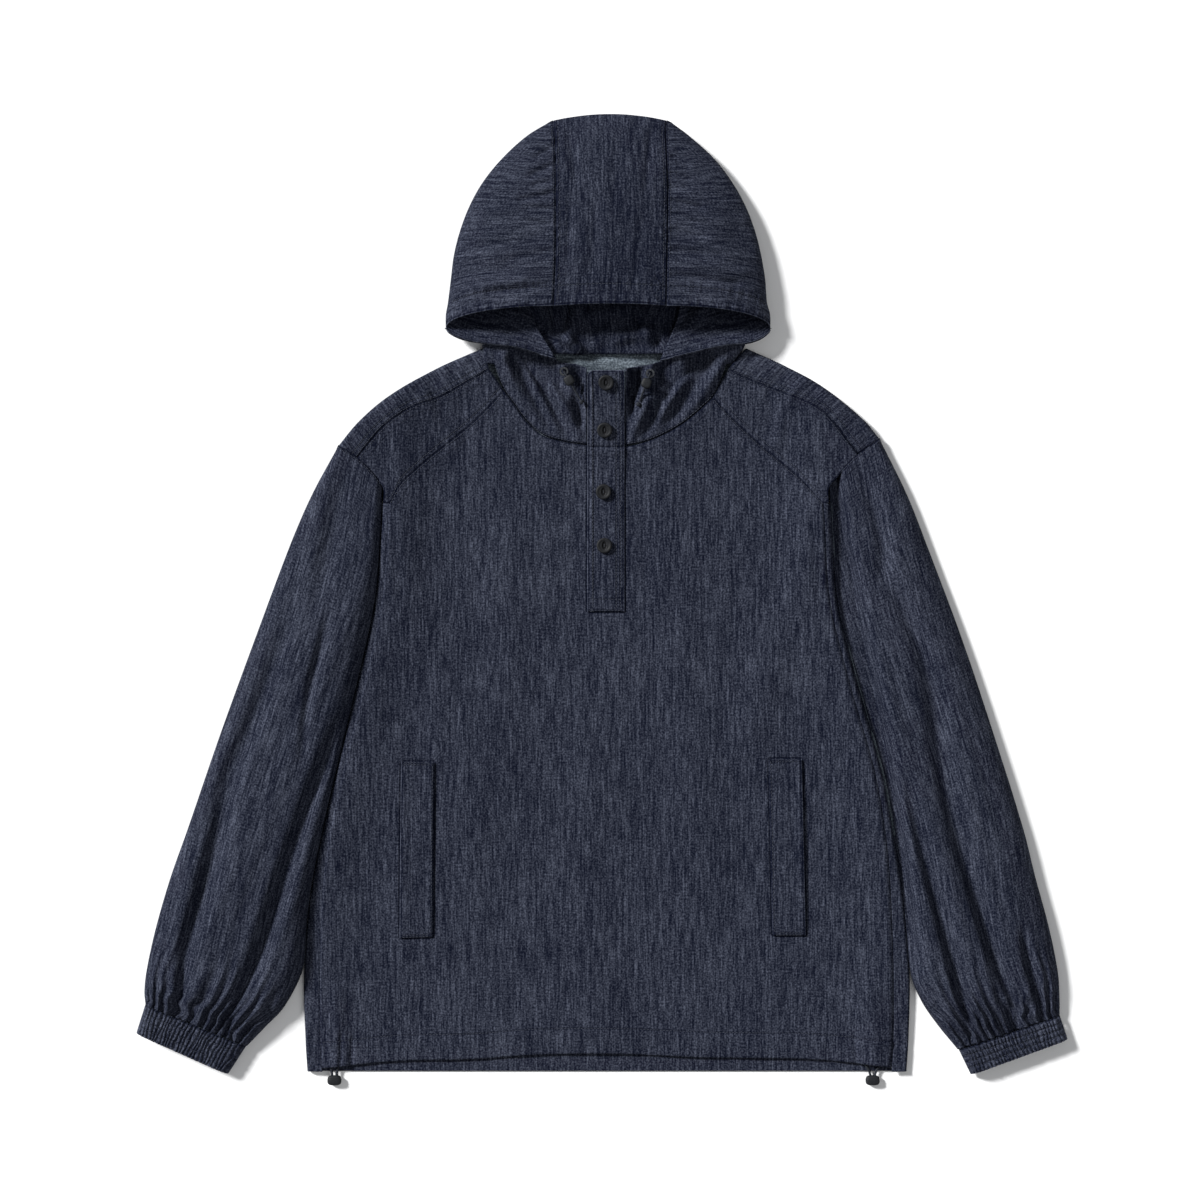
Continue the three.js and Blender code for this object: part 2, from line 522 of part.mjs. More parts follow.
// Elastic cuffs: a short flattened tube. The ribs stand out from a plain inside.
function cuff(corners, flip) {
  const [outerTop, outerFoot, innerTop, innerFoot] = corners.map((c) => new THREE.Vector3(...c, 0));
  const TOP_SHARE = 0.9;
  const steps = CUFF_RIBS * 2;
  const place = (u, v, ribbed) => {
    const onTop = u <= TOP_SHARE;
    const s = onTop ? u / TOP_SHARE : (1 - u) / (1 - TOP_SHARE);
    const a = outerFoot.clone().lerp(outerTop, v);
    const b = innerFoot.clone().lerp(innerTop, v);
    const width = a.distanceTo(b);
    const point = a.lerp(b, s);
    if (!onTop) return point.setZ(0);
    const rise = round(s * width, 13) * round((1 - s) * width, 13);
    const rib = ribbed && Math.round(s * steps) % 2 === 1 ? CUFF_RIB_DEPTH : 0;
    const plain = SILHOUETTE_HEIGHT + (CUFF_HEIGHT - CUFF_RIB_DEPTH - SILHOUETTE_HEIGHT) * rise;
    return point.setZ(plain + rib * Math.min(1, rise * 1.3));
  };
  const top = Array.from({ length: steps + 1 }, (_, i) => (i / steps) * TOP_SHARE);
  return clothWall({
    across: [...top, 0.905, 0.95, 0.995, 1], along: 2, closed: true, flip,
    face: (u, v) => place(u, v, true), inside: (u, v) => place(u, v, false),
  });
}
add('cuff_left', cuff([[-461, -404.6], [-470, -433], [-360, -446.1], [-378, -474]], false));
add('cuff_right', cuff([[454, -415.1], [462, -439], [353, -449.6], [365, -474.5]], true));

// Hood. Its outline, the brim, the lip of the face opening and the crown seams are curves in space.
const HOOD_FOLD_HEIGHT = 12;
const hoodSide = {
  left: {
    fold: through([[-160, 271, 13], [-160, 284, 12], [-158, 296, 12], [-155, 320, 12], [-152, 344, 12],
      [-146, 368, 12], [-137, 392, 12], [-124, 416, 11], [-105, 440, 10], [-79, 464, 9], [-58, 477, 8]]),
    crown: through([[-52, 291, 40], [-50, 340, 37], [-50, 400, 30], [-51, 440, 24], [-52, 470, 17],
      [-53, 479, 12]]),
    under: through([[-51, 250, 9], [-62, 264, 3], [-75, 285, 0], [-74, 340, 0], [-66, 400, 0],
      [-56, 450, 0], [-53, 474, 3]]),
    lip: through([[-160, 271, 13], [-158, 267, 14], [-146, 260, 17], [-123, 255, 20], [-91, 251, 21],
      [-66, 244, 19], [-50, 239.5, 17]]),
  },
  right: {
    fold: through([[164, 271, 13], [164, 284, 12], [161, 296, 12], [159, 320, 12], [155, 344, 12],
      [149, 368, 12], [140, 392, 12], [127, 416, 11], [109, 440, 10], [83, 464, 9], [66, 477, 8]]),
    crown: through([[60, 291, 41], [61, 340, 37], [62, 400, 30], [61, 440, 24], [60, 470, 17],
      [61, 479, 12]]),
    under: through([[56, 250, 9], [64, 264, 3], [72, 285, 0], [74, 340, 0], [72, 400, 0],
      [66, 450, 0], [61, 474, 3]]),
    lip: through([[164, 271, 13], [164, 268, 14], [155, 260, 17], [141, 255, 20], [120, 253, 21],
      [88, 246, 20], [54, 237.5, 18]]),
  },
};
const HOOD_RIDGES = [
  { x0: -120, y0: 300, x1: -118, y1: 400, rise: 1.8, width: 12 },
  { x0: 118, y0: 300, x1: 112, y1: 410, rise: 2.2, width: 14 },
];

const HOOD_ROWS = [0, 0.03, 0.08, 0.13, 0.19, 0.28, 0.38, 0.5, 0.62, 0.74, 0.85, 0.93, 1];

function hoodPanel(side, flip) {
  const { fold, crown, under, lip } = side;
  const bend = 0.5;
  const face = (u, v) => {
    const edge = fold(v);
    if (u <= bend) {
      const q = 1 - u / bend;
      const a = 1 - Math.cos((q * Math.PI) / 2);
      const rise = Math.sin((q * Math.PI) / 2);
      const seam = crown(v);
      const y = lerp(edge.y, seam.y, lerp(a, rise, (1 - v) ** 2));
      const x = lerp(edge.x, seam.x, a);
      return new THREE.Vector3(x, y, lerp(edge.z, seam.z, rise) + ridges(x, y, HOOD_RIDGES) * rise * a);
    }
    const q = (u - bend) / (1 - bend);
    const a = lerp(q, 1 - Math.cos((q * Math.PI) / 2), 0.5);
    const seam = under(v);
    const width = Math.abs(seam.x - edge.x);
    const drop = round(a * width, Math.min(14, width * 0.7));
    const low = new THREE.Vector3(lerp(edge.x, seam.x, a), lerp(edge.y, seam.y, a), lerp(edge.z, 0, drop));
    low.z += seam.z * smoothstep(a, 0.6, 1) * (v > 0.8 ? 1 : 0.4);
    const lifted = 1 - smoothstep(v, 0, 0.2);
    low.z = Math.max(0, low.z);
    return low.lerp(lip(a), lifted);
  };
  const across = 20;
  return clothWall({ across, along: HOOD_ROWS, face, thickness: HOOD_CLOTH, flip });
}
add('hood_side_left', hoodPanel(hoodSide.left, true));
add('hood_side_right', hoodPanel(hoodSide.right, false));

// Crown strip: from the brim over the top of the hood and back along the floor to the nape.
{
  const centreTop = through([[3, 293, 43], [4, 340, 41], [4, 400, 35], [4, 440, 28.5], [4, 470, 20],
    [4, 484, 12], [4, 486, 8], [4, 483, 2.5], [4, 474, 0], [4, 440, 0], [4, 400, 0], [4, 340, 0],
    [4, 290, 0], [4, 264, 2.5], [4, 250, 1.7]]);
  const leftEdge = hoodSide.left;
  const rightEdge = hoodSide.right;
  const turnAt = 0.478;
  const turnEnd = 0.53;
  const edgeAt = (side, v) => {
    if (v <= turnAt) return side.crown(v / turnAt);
    if (v >= turnEnd) return side.under(1 - (v - turnEnd) / (1 - turnEnd));
    return side.crown(1).lerp(side.under(1), (v - turnAt) / (turnEnd - turnAt));
  };
  const centreAt = (v) => {
    if (v <= turnAt) return centreTop((v / turnAt) * 0.452);
    if (v >= turnEnd) return centreTop(lerp(0.492, 1, (v - turnEnd) / (1 - turnEnd)));
    return centreTop(lerp(0.452, 0.492, (v - turnAt) / (turnEnd - turnAt)));
  };
  const face = (u, v) => {
    const west = edgeAt(leftEdge, v).add(new THREE.Vector3(SEAM_GAP, 0, 0));
    const east = edgeAt(rightEdge, v).add(new THREE.Vector3(-SEAM_GAP, 0, 0));
    const middle = centreAt(v);
    const across = 2 * u - 1;
    const edge = west.clone().lerp(east, u);
    const arch = 1 - across * across;
    const chord = west.clone().lerp(east, 0.5);
    const z = Math.max(0, edge.z + (middle.z - chord.z) * arch);
    return new THREE.Vector3(edge.x, edge.y + (middle.y - chord.y) * arch, z);
  };
  const overTop = HOOD_ROWS.map((row) => row * turnAt);
  const onFloor = HOOD_ROWS.map((row) => lerp(turnEnd, 1, 1 - row)).reverse();
  const along = [...overTop, (turnAt + turnEnd) / 2, ...onFloor];
  add('hood_crown', clothWall({ across: 8, along, face, thickness: HOOD_CLOTH }));
}

// Front neck part of each hood side, from the neckline seam up to just under the lip.
const NECK_RIDGES = {
  left: [
    { x0: -44, y0: 205, x1: -22, y1: 165, rise: 2.6, width: 5 },
    { x0: -72, y0: 225, x1: -60, y1: 180, rise: 2.5, width: 10 },
    { x0: -100, y0: 232, x1: -92, y1: 210, rise: 2, width: 8 },
  ],
  right: [
    { x0: 96, y0: 232, x1: 60, y1: 188, rise: 3.5, width: 14 },
    { x0: 50, y0: 214, x1: 30, y1: 180, rise: 2, width: 7 },
  ],
};
const centreFront = column([
  { y: 120, rise: 0 }, { y: 150, rise: 0.6 }, { y: 172, rise: 3 }, { y: 200, rise: 8 },
  { y: 222, rise: 12 }, { y: 235, rise: 13 },
], 'y', 'rise');
const frontHeight = (y) => bodyTop(0, Math.min(y, NECK_Y)) + centreFront(y);

function neckPanel({ seam, lip, steep, creases, outline, side }) {
  const turn = 0.16;
  const tuck = 1.7;
  const face = (u, v) => {
    const along = Math.max(0, (u - turn) / (1 - turn));
    const low = seam(along);
    const high = lip(along);
    const plan = low.clone().lerp(high, v);
    const rise = lerp(v, 1 - (1 - v) ** steep, 0.85);
    const folds = ridges(plan.x, plan.y, creases) * 4 * v * (1 - v);
    const sideZ = lerp(bodyTop(low.x, low.y), high.z, rise) + folds;
    const z = lerp(sideZ, frontHeight(plan.y), smoothstep(along, 0.72, 1));
    if (u >= turn) return plan.setZ(z);
    const radius = (z - tuck) / 2;
    const angle = Math.PI * (u / turn - 0.5);
    const outermost = outline(plan.y);
    return new THREE.Vector3(outermost - side * radius + side * radius * Math.cos(angle), plan.y,
      tuck + radius + radius * Math.sin(angle));
  };
  const across = [0, 0.04, 0.08, 0.12, ...Array.from({ length: 12 }, (_, i) => lerp(turn, 1, i / 11))];
  return clothWall({ across, along: 8, face, flip: side > 0 });
}
const PLACKET_EDGE = PLACKET_WIDTH / 2;
const neckOutlineLeft = column(
  [{ y: 200, out: -107 }, { y: 232, out: -117 }, { y: 254, out: -121 }], 'y', 'out');
const neckOutlineRight = column(
  [{ y: 200, out: 113 }, { y: 232, out: 121 }, { y: 254, out: 137 }], 'y', 'out');
add('hood_neck_left', neckPanel({
  seam: through([[-112, 236, 0], [-101.5, 210.6, 0], [-92.4, 197.8, 0], [-78.4, 181, 0], [-65, 165, 0],
    [-41, 163, 0], [-PLACKET_EDGE - 0.4, 156, 0]]),
  lip: through([[-112, 255, 16.4], [-91, 254, 17], [-66, 247.5, 15], [-54, 242, 14.2], [-47, 238, 15.2],
    [-29, 234.5, 16], [-PLACKET_EDGE - 0.4, 231, 16]]),
  steep: 1.6, creases: NECK_RIDGES.left, outline: neckOutlineLeft, side: -1,
}));
add('hood_neck_right', neckPanel({
  seam: through([[120, 236, 0], [112, 220, 0], [106, 200, 0], [98.2, 195.8, 0], [77, 177, 0], [58, 167, 0],
    [40, 160.4, 0], [PLACKET_EDGE + 0.4, 155, 0]]),
  lip: through([[125, 256, 16.2], [110, 255, 16.4], [88, 249.5, 16], [62, 242, 14.6], [54, 238, 15.2],
    [31, 232.5, 16], [PLACKET_EDGE + 0.4, 230.5, 16]]),
  steep: 3, creases: NECK_RIDGES.right, outline: neckOutlineRight, side: 1,
}));

// Placket over the slit, and the button stand lying in it.
const LAYER = CLOTH + 0.5;      // one layer over another, on a slope too
const placketTop = (y) => frontHeight(y) + LAYER;
{
  const rows = [0, 0.1, 0.22, 0.34, 0.46, 0.58, 0.66, 0.72, 0.78, 0.84, 0.9, 0.95, 1];
  const outline = (u, v) => {
    const x = lerp(-PLACKET_EDGE, PLACKET_EDGE, u);
    const corner = 6 * (1 - round(u * PLACKET_WIDTH, 7)) * smoothstep(v, 0.9, 1);
    return [x, lerp(PLACKET_FOOT, PLACKET_TOP, v) - corner];
  };
  const face = (u, v) => {
    const [x, y] = outline(u, v);
    const belowNeck = bodyTop(x, Math.min(y, NECK_Y)) + centreFront(y);
    return new THREE.Vector3(x, y, belowNeck + LAYER);
  };
  add('placket', clothWall({ across: 6, along: rows, face }));
  const stand = (u, v) => {
    const x = lerp(-STAND_WIDTH / 2 + 0.25, STAND_WIDTH / 2 - 0.25, u);
    const y = lerp(-7.5, PLACKET_TOP - 5, v);
    return new THREE.Vector3(x, y, bodyTop(x, Math.min(y, NECK_Y)) + centreFront(y));
  };
  add('button_stand', clothWall({ across: 2, along: rows, face: stand }));
}

// Buttons: a raised rim round a dished middle with two sewing holes.
{
  const radius = BUTTON_DIAMETER / 2;
  const profile = [[0, 0], [radius - 1.2, 0], [radius, 1.1], [radius, 2.2], [radius - 0.9, BUTTON_HEIGHT],
    [radius - 2, BUTTON_HEIGHT], [radius - 3, 2.1], [0, 2.1]].map(([x, y]) => new THREE.Vector2(x, y));
  const disc = new THREE.LatheGeometry(profile, 16);
  disc.rotateX(Math.PI / 2);
  let button = solid(disc);
  for (const x of [-1.6, 1.6]) {
    const hole = new THREE.CylinderGeometry(0.9, 0.9, 12, 6);
    hole.rotateX(Math.PI / 2);
    hole.translate(x, 0, 0);
    button = button.subtract(solid(hole));
  }
  const BUTTONS = [[0, 217], [-1.4, 170], [-2.5, 108.3], [-1.7, 54.5]];
  BUTTONS.forEach(([x, y], i) => {
    const mesh = add(`button_${i + 1}`, unsolid(button), BUTTON_PLASTIC);
    const reach = radius;
    const slope = (placketTop(y + reach) - placketTop(y - reach)) / (2 * reach);
    const seat = Math.max(...[-1, 0, 1].map((k) => placketTop(y + k * reach) - slope * k * reach));
    mesh.position.set(x, y, seat + SEAM_GAP + 0.2);
    mesh.rotation.x = Math.atan(slope);
  });
}

// Pocket welts: a folded strip lying on the front body, open along its outer edge.
const WELTS = [
  { name: 'pocket_welt_left', x0: -205, x1: -206.5, y0: -162, y1: -338, lean: -2, mouth: -1 },
  { name: 'pocket_welt_right', x0: 163, x1: 167, y0: -159, y1: -336, lean: 0, mouth: 1 },
];
for (const welt of WELTS) {
  const face = (u, v) => {
    const y = lerp(welt.y1, welt.y0, v) + welt.lean * (u - 0.5) * (v - 0.5);
    const x = lerp(welt.x1, welt.x0, v) + u * WELT_WIDTH;
    const toMouth = welt.mouth < 0 ? 1 - u : u;
    const lift = 1.3 * smoothstep(toMouth, 0.6, 1) * 4 * v * (1 - v);
    return new THREE.Vector3(x, y, bodyTop(x, y) + WELT_CLOTH + WELT_GAP + lift);
  };
  add(welt.name, clothWall({ across: 4, along: 10, face, thickness: WELT_CLOTH }));
}

// Hem cords: each is a loop of round cord that comes out between two layers and runs through a lock.
function cordTube(points, diameter, steps) {
  const path = new THREE.CatmullRomCurve3(points.map((p) => new THREE.Vector3(...p)), false, 'centripetal');
  const section = new THREE.Shape();
  for (let k = 0; k < 8; k += 1) {
    const angle = (k / 8) * 2 * Math.PI;
    const [x, y] = [Math.cos(angle) * diameter / 2, Math.sin(angle) * diameter / 2];
    if (k === 0) section.moveTo(x, y);
    else section.lineTo(x, y);
  }
  return new THREE.ExtrudeGeometry(section, { steps, bevelEnabled: false, extrudePath: path });
}

function cordLock({ length, width, height, slotWidth, slotHeight }) {
  const body = new THREE.Shape();
  const corner = 2.2;
  body.moveTo(-width / 2 + corner, -height / 2);
  body.lineTo(width / 2 - corner, -height / 2);
  body.quadraticCurveTo(width / 2, -height / 2, width / 2, -height / 2 + corner);
  body.lineTo(width / 2, height / 2 - corner);
  body.quadraticCurveTo(width / 2, height / 2, width / 2 - corner, height / 2);
  body.lineTo(-width / 2 + corner, height / 2);
  body.quadraticCurveTo(-width / 2, height / 2, -width / 2, height / 2 - corner);
  body.lineTo(-width / 2, -height / 2 + corner);
  body.quadraticCurveTo(-width / 2, -height / 2, -width / 2 + corner, -height / 2);
  const slot = new THREE.Path();
  slot.moveTo(-slotWidth / 2, -slotHeight / 2);
  slot.lineTo(-slotWidth / 2, slotHeight / 2);
  slot.lineTo(slotWidth / 2, slotHeight / 2);
  slot.lineTo(slotWidth / 2, -slotHeight / 2);
  body.holes.push(slot);
  const geometry = new THREE.ExtrudeGeometry(body, { depth: length, bevelEnabled: false, curveSegments: 3 });
  geometry.translate(0, 0, -length / 2);
  geometry.rotateX(Math.PI / 2);
  return geometry;
}
const HEM_CORD_LEFT = [
  [-276, -452, 3.2], [-276, -460, 3.2], [-275.6, -468, 3.2], [-274.4, -474, 3.2],
  [-274, -480, 3.4], [-273.6, -484, 3.4], [-272, -485.6, 3.4], [-270.4, -484, 3.4], [-270, -480, 3.4],
  [-269.6, -474, 3.2], [-268.4, -468, 3.2], [-268, -460, 3.2], [-268, -452, 3.2],
];
const HEM_CORD_RIGHT = [
  [257, -452, 3.2], [257.6, -459, 3.2], [260, -466, 3.2], [263.4, -471.5, 3.2],
  [264.9, -476.5, 3.4], [265.2, -482, 3.4], [267, -485.2, 3.4], [268.8, -482, 3.4],
  [269.1, -476.5, 3.4], [270.8, -471.5, 3.2], [274.4, -466, 3.2], [276.6, -459, 3.2], [277, -452, 3.2],
];
add('hem_cord_left', cordTube(HEM_CORD_LEFT, HEM_CORD, HEM_CORD_STEPS), CORD_GREY);
add('hem_cord_right', cordTube(HEM_CORD_RIGHT, HEM_CORD, HEM_CORD_STEPS), CORD_GREY);
for (const [name, x] of [['hem_cord_lock_left', -272], ['hem_cord_lock_right', 267]]) {
  const lock = cordLock({ length: 10, width: 14, height: 6.6, slotWidth: 7.4, slotHeight: 3.2 });
  const mesh = add(name, lock, LOCK_PLASTIC);
  mesh.position.set(x, -481, 3.4);
}

// Hood cords: one strand on each side, out of an eyelet below the lip, through a lock, to a knot.
const HOOD_CORDS = [
  { side: 'left', eyelet: [-42, 228, 16.5], lock: [-36.8, 218.9, 19.3], turn: 29.8,
    knot: [-24.6, 197.6, 16.6],
    route: [[-42, 228, 18], [-41.1, 226.4, 18.4], [-40, 224.5, 19], [-36.8, 218.9, 19.3], [-34, 214.1, 19],
      [-31.5, 209.8, 18], [-29, 205.5, 17], [-27.3, 202.4, 16.5], [-25.9, 200, 16.3]] },
  { side: 'right', eyelet: [44, 226, 16.9], lock: [40.2, 216, 20], turn: -20.8, knot: [32.2, 195.2, 17.2],
    route: [[44, 226, 18.5], [43.4, 224.4, 19], [42.7, 222.5, 19.8], [40.2, 216, 20], [38.6, 211.8, 19.8],
      [37.2, 208.2, 18.9], [36, 205, 17.9], [34.3, 200.5, 17.2], [33.2, 197.8, 17]] },
];
for (const { side, eyelet, lock, turn, knot, route } of HOOD_CORDS) {
  const ring = new THREE.LatheGeometry([[2.6, 0], [4.6, 0], [4.3, 0.7], [2.8, 0.7], [2.6, 0]]
    .map(([x, y]) => new THREE.Vector2(x, y)), 14);
  ring.rotateX(Math.PI / 2);
  add(`hood_eyelet_${side}`, ring, EYELET_METAL).position.set(...eyelet);
  add(`hood_cord_${side}`, cordTube(route, HOOD_CORD, 12), CORD_GREY);
  const block = cordLock({ length: 10, width: 10, height: 5.5, slotWidth: 3, slotHeight: 2.8 });
  const mesh = add(`hood_cord_lock_${side}`, block, LOCK_PLASTIC);
  mesh.position.set(...lock);
  mesh.rotation.z = THREE.MathUtils.degToRad(turn);
  const ball = new THREE.IcosahedronGeometry(KNOT_RADIUS, 1);
  add(`hood_cord_knot_${side}`, ball, CORD_GREY).position.set(...knot);
}

// Stand the part on its bounding box: the cords and their locks are left out of it.
const box = new THREE.Box3();
for (const mesh of anorak.children) {
  if (mesh.name.includes('cord')) continue;
  mesh.updateMatrixWorld(true);
  box.expandByObject(mesh, true);
}
const centre = box.getCenter(new THREE.Vector3());
anorak.position.set(-centre.x, -centre.y, -box.min.z);

export default anorak;
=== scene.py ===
"""A hooded anorak pullover in light denim, laid flat on its back and seen from straight above."""
import math
from functools import partial

import bmesh
import bpy
import numpy as np
from mathutils import Matrix, Vector


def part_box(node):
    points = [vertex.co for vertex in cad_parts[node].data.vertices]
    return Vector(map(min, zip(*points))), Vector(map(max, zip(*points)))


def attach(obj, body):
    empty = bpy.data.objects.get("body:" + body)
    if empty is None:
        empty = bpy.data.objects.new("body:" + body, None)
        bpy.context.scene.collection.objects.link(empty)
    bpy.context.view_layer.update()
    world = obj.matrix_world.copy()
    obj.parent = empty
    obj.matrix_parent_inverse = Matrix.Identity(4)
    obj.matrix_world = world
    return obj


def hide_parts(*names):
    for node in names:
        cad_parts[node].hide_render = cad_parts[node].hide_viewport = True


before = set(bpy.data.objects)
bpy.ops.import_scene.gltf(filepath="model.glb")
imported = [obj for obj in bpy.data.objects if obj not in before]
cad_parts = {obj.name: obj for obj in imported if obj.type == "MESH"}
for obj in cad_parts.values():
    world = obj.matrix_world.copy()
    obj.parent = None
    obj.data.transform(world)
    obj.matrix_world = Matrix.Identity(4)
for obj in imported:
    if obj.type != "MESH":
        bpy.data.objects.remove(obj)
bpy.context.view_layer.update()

# The view, the light and the floor that the garment lies on. Sizes here and below are in
# millimetres on the laid garment: X from the placket, Y up to the hood, Z from the floor.
MM = 0.001
FAR = 50.0            # further than this from any edge all places count alike
LOCK_LEFT = (-272, -481, 3.4)
lock_low, lock_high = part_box("hem_cord_lock_left")
garment_zero = (lock_low + lock_high) / 2 - Vector(LOCK_LEFT) * MM
VIEW_CENTRE = (-6, 0)
VIEW_WIDTH = 1200
VIEW_HEIGHT = 3000
CLOTH_LEVEL = 8       # the cloth that the view is set for lies this high
SENSOR = 36
VIEW_END = 20         # metres
FLOOR_HALF = 4        # metres
FLOOR_DROP = 0.6      # the floor lies this far under the cloth, so that the two don't flicker


def added(name, data):
    """A new object in the scene, at the origin until it is moved."""
    made = bpy.data.objects.new(name, data)
    bpy.context.scene.collection.objects.link(made)
    return made


def blank(name):
    """A new material, its node tree and its shader."""
    material = bpy.data.materials.new(name)
    material.use_nodes = True
    return material, material.node_tree, material.node_tree.nodes["Principled BSDF"]


camera_data = bpy.data.cameras.new("camera")
camera_data.sensor_width = SENSOR
camera_data.lens = SENSOR * VIEW_HEIGHT / VIEW_WIDTH
camera_data.clip_end = VIEW_END
camera = added("camera", camera_data)
camera.location = garment_zero + Vector((*VIEW_CENTRE, VIEW_HEIGHT + CLOTH_LEVEL)) * MM
bpy.context.scene.camera = camera

floor_mesh = bpy.data.meshes.new("floor")
floor_bm = bmesh.new()
bmesh.ops.create_grid(floor_bm, x_segments=2, y_segments=2, size=FLOOR_HALF)
floor_bm.to_mesh(floor_mesh)
floor_bm.free()
floor = added("floor", floor_mesh)
floor.location.z = -FLOOR_DROP * MM
floor_paint, _, floor_shader = blank("floor_paint")
floor_shader.inputs["Base Color"].default_value = (0.86, 0.86, 0.86, 1)
floor_shader.inputs["Roughness"].default_value = 0.9
floor_mesh.materials.append(floor_paint)

# Two suns with wide discs, which light the whole garment evenly: place, spread, strength.
LAMPS = [
    ("key_lamp", (-2550, 1650, 1900), 12, 6.5),
    ("fill_lamp", (2000, -900, 3200), 50, 0.6),
]
for name, place, spread, strength in LAMPS:
    lamp_data = bpy.data.lights.new(name, "SUN")
    lamp_data.angle = math.radians(spread)
    lamp_data.energy = strength
    lamp = added(name, lamp_data)
    lamp.location = Vector(place) * MM
    lamp.rotation_euler = (-lamp.location).to_track_quat("-Z", "Y").to_euler()
ROOM_COLOUR = (0.95, 0.97, 1, 1)
ROOM_STRENGTH = 0.25
room = bpy.data.worlds.new("room")
room.use_nodes = True
room.node_tree.nodes["Background"].inputs["Color"].default_value = ROOM_COLOUR
room.node_tree.nodes["Background"].inputs["Strength"].default_value = ROOM_STRENGTH
bpy.context.scene.world = room
bpy.context.scene.view_settings.view_transform = "Standard"

# Drawcords. Round braided cord: a loop at each end of the hem casing, both strands through a
# spring lock, and a short strand on each side of the neck, out of an eyelet to a knot.
HEM_CORD = 2.4
HOOD_CORD = 2.0
CORD_STEPS = 36
CORD_ROUTES = {
    "hem_cord_left": [
        (-276, -452, 3.2), (-276, -460, 3.2), (-275.6, -468, 3.2), (-274.4, -474, 3.2), (-274, -480, 3.4),
        (-273.6, -484, 3.4), (-272, -485.6, 3.4), (-270.4, -484, 3.4), (-270, -480, 3.4),
        (-269.6, -474, 3.2), (-268.4, -468, 3.2), (-268, -460, 3.2), (-268, -452, 3.2),
    ],
    "hem_cord_right": [
        (257, -452, 3.2), (257.6, -459, 3.2), (260, -466, 3.2), (263.4, -471.5, 3.2), (264.9, -476.5, 3.4),
        (265.2, -482, 3.4), (267, -485.2, 3.4), (268.8, -482, 3.4), (269.1, -476.5, 3.4),
        (270.8, -471.5, 3.2), (274.4, -466, 3.2), (276.6, -459, 3.2), (277, -452, 3.2),
    ],
    "hood_cord_left": [
        (-42, 228, 18), (-41.1, 226.4, 18.4), (-40, 224.5, 19), (-36.8, 218.9, 19.3), (-34, 214.1, 19),
        (-31.5, 209.8, 18), (-29, 205.5, 17), (-27.3, 202.4, 16.5), (-25.9, 200, 16.3),
    ],
    "hood_cord_right": [
        (44, 226, 18.5), (43.4, 224.4, 19), (42.7, 222.5, 19.8), (40.2, 216, 20), (38.6, 211.8, 19.8),
        (37.2, 208.2, 18.9), (36, 205, 17.9), (34.3, 200.5, 17.2), (33.2, 197.8, 17),
    ],
}


def through(points, by_index=False):
    """A smooth curve through points: read(share) gives places at shares of its length."""
    knots = np.array([(*point, 0)[:3] for point in points], float)
    ends = np.vstack([2 * knots[0] - knots[1], knots, 2 * knots[-1] - knots[-2]])
    s = np.linspace(0, 1, 24, endpoint=False)[:, None]
    stretches = []
    for i in range(1, len(ends) - 2):
        before, start, end, after = ends[i - 1:i + 3]
        lead, span, trail = (np.linalg.norm(b - a) ** 0.5 for a, b in
                             ((before, start), (start, end), (end, after)))
        leave = ((start - before) / lead - (end - before) / (lead + span) + (end - start) / span) * span
        reach = ((end - start) / span - (after - start) / (span + trail) + (after - end) / trail) * span
        stretches.append(start * (2 * s**3 - 3 * s**2 + 1) + leave * (s**3 - 2 * s**2 + s)
                         + end * (3 * s**2 - 2 * s**3) + reach * (s**3 - s**2))
    path = np.vstack([*stretches, knots[-1:]])
    if by_index:
        marks = np.linspace(0, 1, len(path))
    else:
        marks = np.concatenate([[0], np.cumsum(np.linalg.norm(np.diff(path, axis=0), axis=1))])
        marks /= marks[-1]
    return lambda share: np.stack([np.interp(share, marks, path[:, k]) for k in range(3)], axis=-1)


def placed(points):
    """Garment millimetres to metres in the part's frame."""
    return np.asarray(points, float) * MM + np.array(garment_zero)


def joined(tree, kind, settings=None, **links):
    """A shader node with its settings, and its inputs linked to sockets or set to values."""
    node = tree.nodes.new("ShaderNode" + kind)
    for key, value in (settings or {}).items():
        setattr(node, key, value)
    for key, value in links.items():
        socket = node.inputs[int(key[1:])] if key[1:].isdigit() else node.inputs[key.replace("_", " ")]
        if isinstance(value, bpy.types.NodeSocket):
            tree.links.new(value, socket)
        else:
            socket.default_value = value
    return node.outputs[0]


def arith(tree, operation, *values):
    """A maths node on sockets and numbers."""
    return joined(tree, "Math", {"operation": operation}, **{f"i{k}": v for k, v in enumerate(values)})


def toned(tree, share, dark, light, start=0.0, end=1.0):
    """A colour from dark, where the share is at the start, to light at the end."""
    ramp = tree.nodes.new("ShaderNodeValToRGB")
    for stop, place, colour in zip(ramp.color_ramp.elements, (start, end), (dark, light)):
        stop.position = place
        stop.color = colour
    tree.links.new(share, ramp.inputs[0])
    return ramp.outputs[0]


def plain_finish(name, colour, roughness, metallic=0, grain=600, relief=0.05):
    """Moulded plastic, metal or thread: a fine uneven tone and a fine relief on object coordinates."""
    material, tree, shader = blank(name)
    where = tree.nodes.new("ShaderNodeTexCoord").outputs["Object"]
    speck = joined(tree, "TexNoise", Vector=where, Scale=grain, Detail=3)
    dark, light = ((*[c * share for c in colour], 1) for share in (0.6, 1.5))
    tree.links.new(toned(tree, speck, dark, light, 0.3, 0.75), shader.inputs["Base Color"])
    uneven = arith(tree, "MULTIPLY_ADD", speck, 0.3, roughness - 0.15)
    tree.links.new(uneven, shader.inputs["Roughness"])
    bump = joined(tree, "Bump", Height=speck, Distance=relief * MM, Strength=1.0)
    tree.links.new(bump, shader.inputs["Normal"])
    shader.inputs["Metallic"].default_value = metallic
    shader.inputs["Specular IOR Level"].default_value = 0.2
    return material


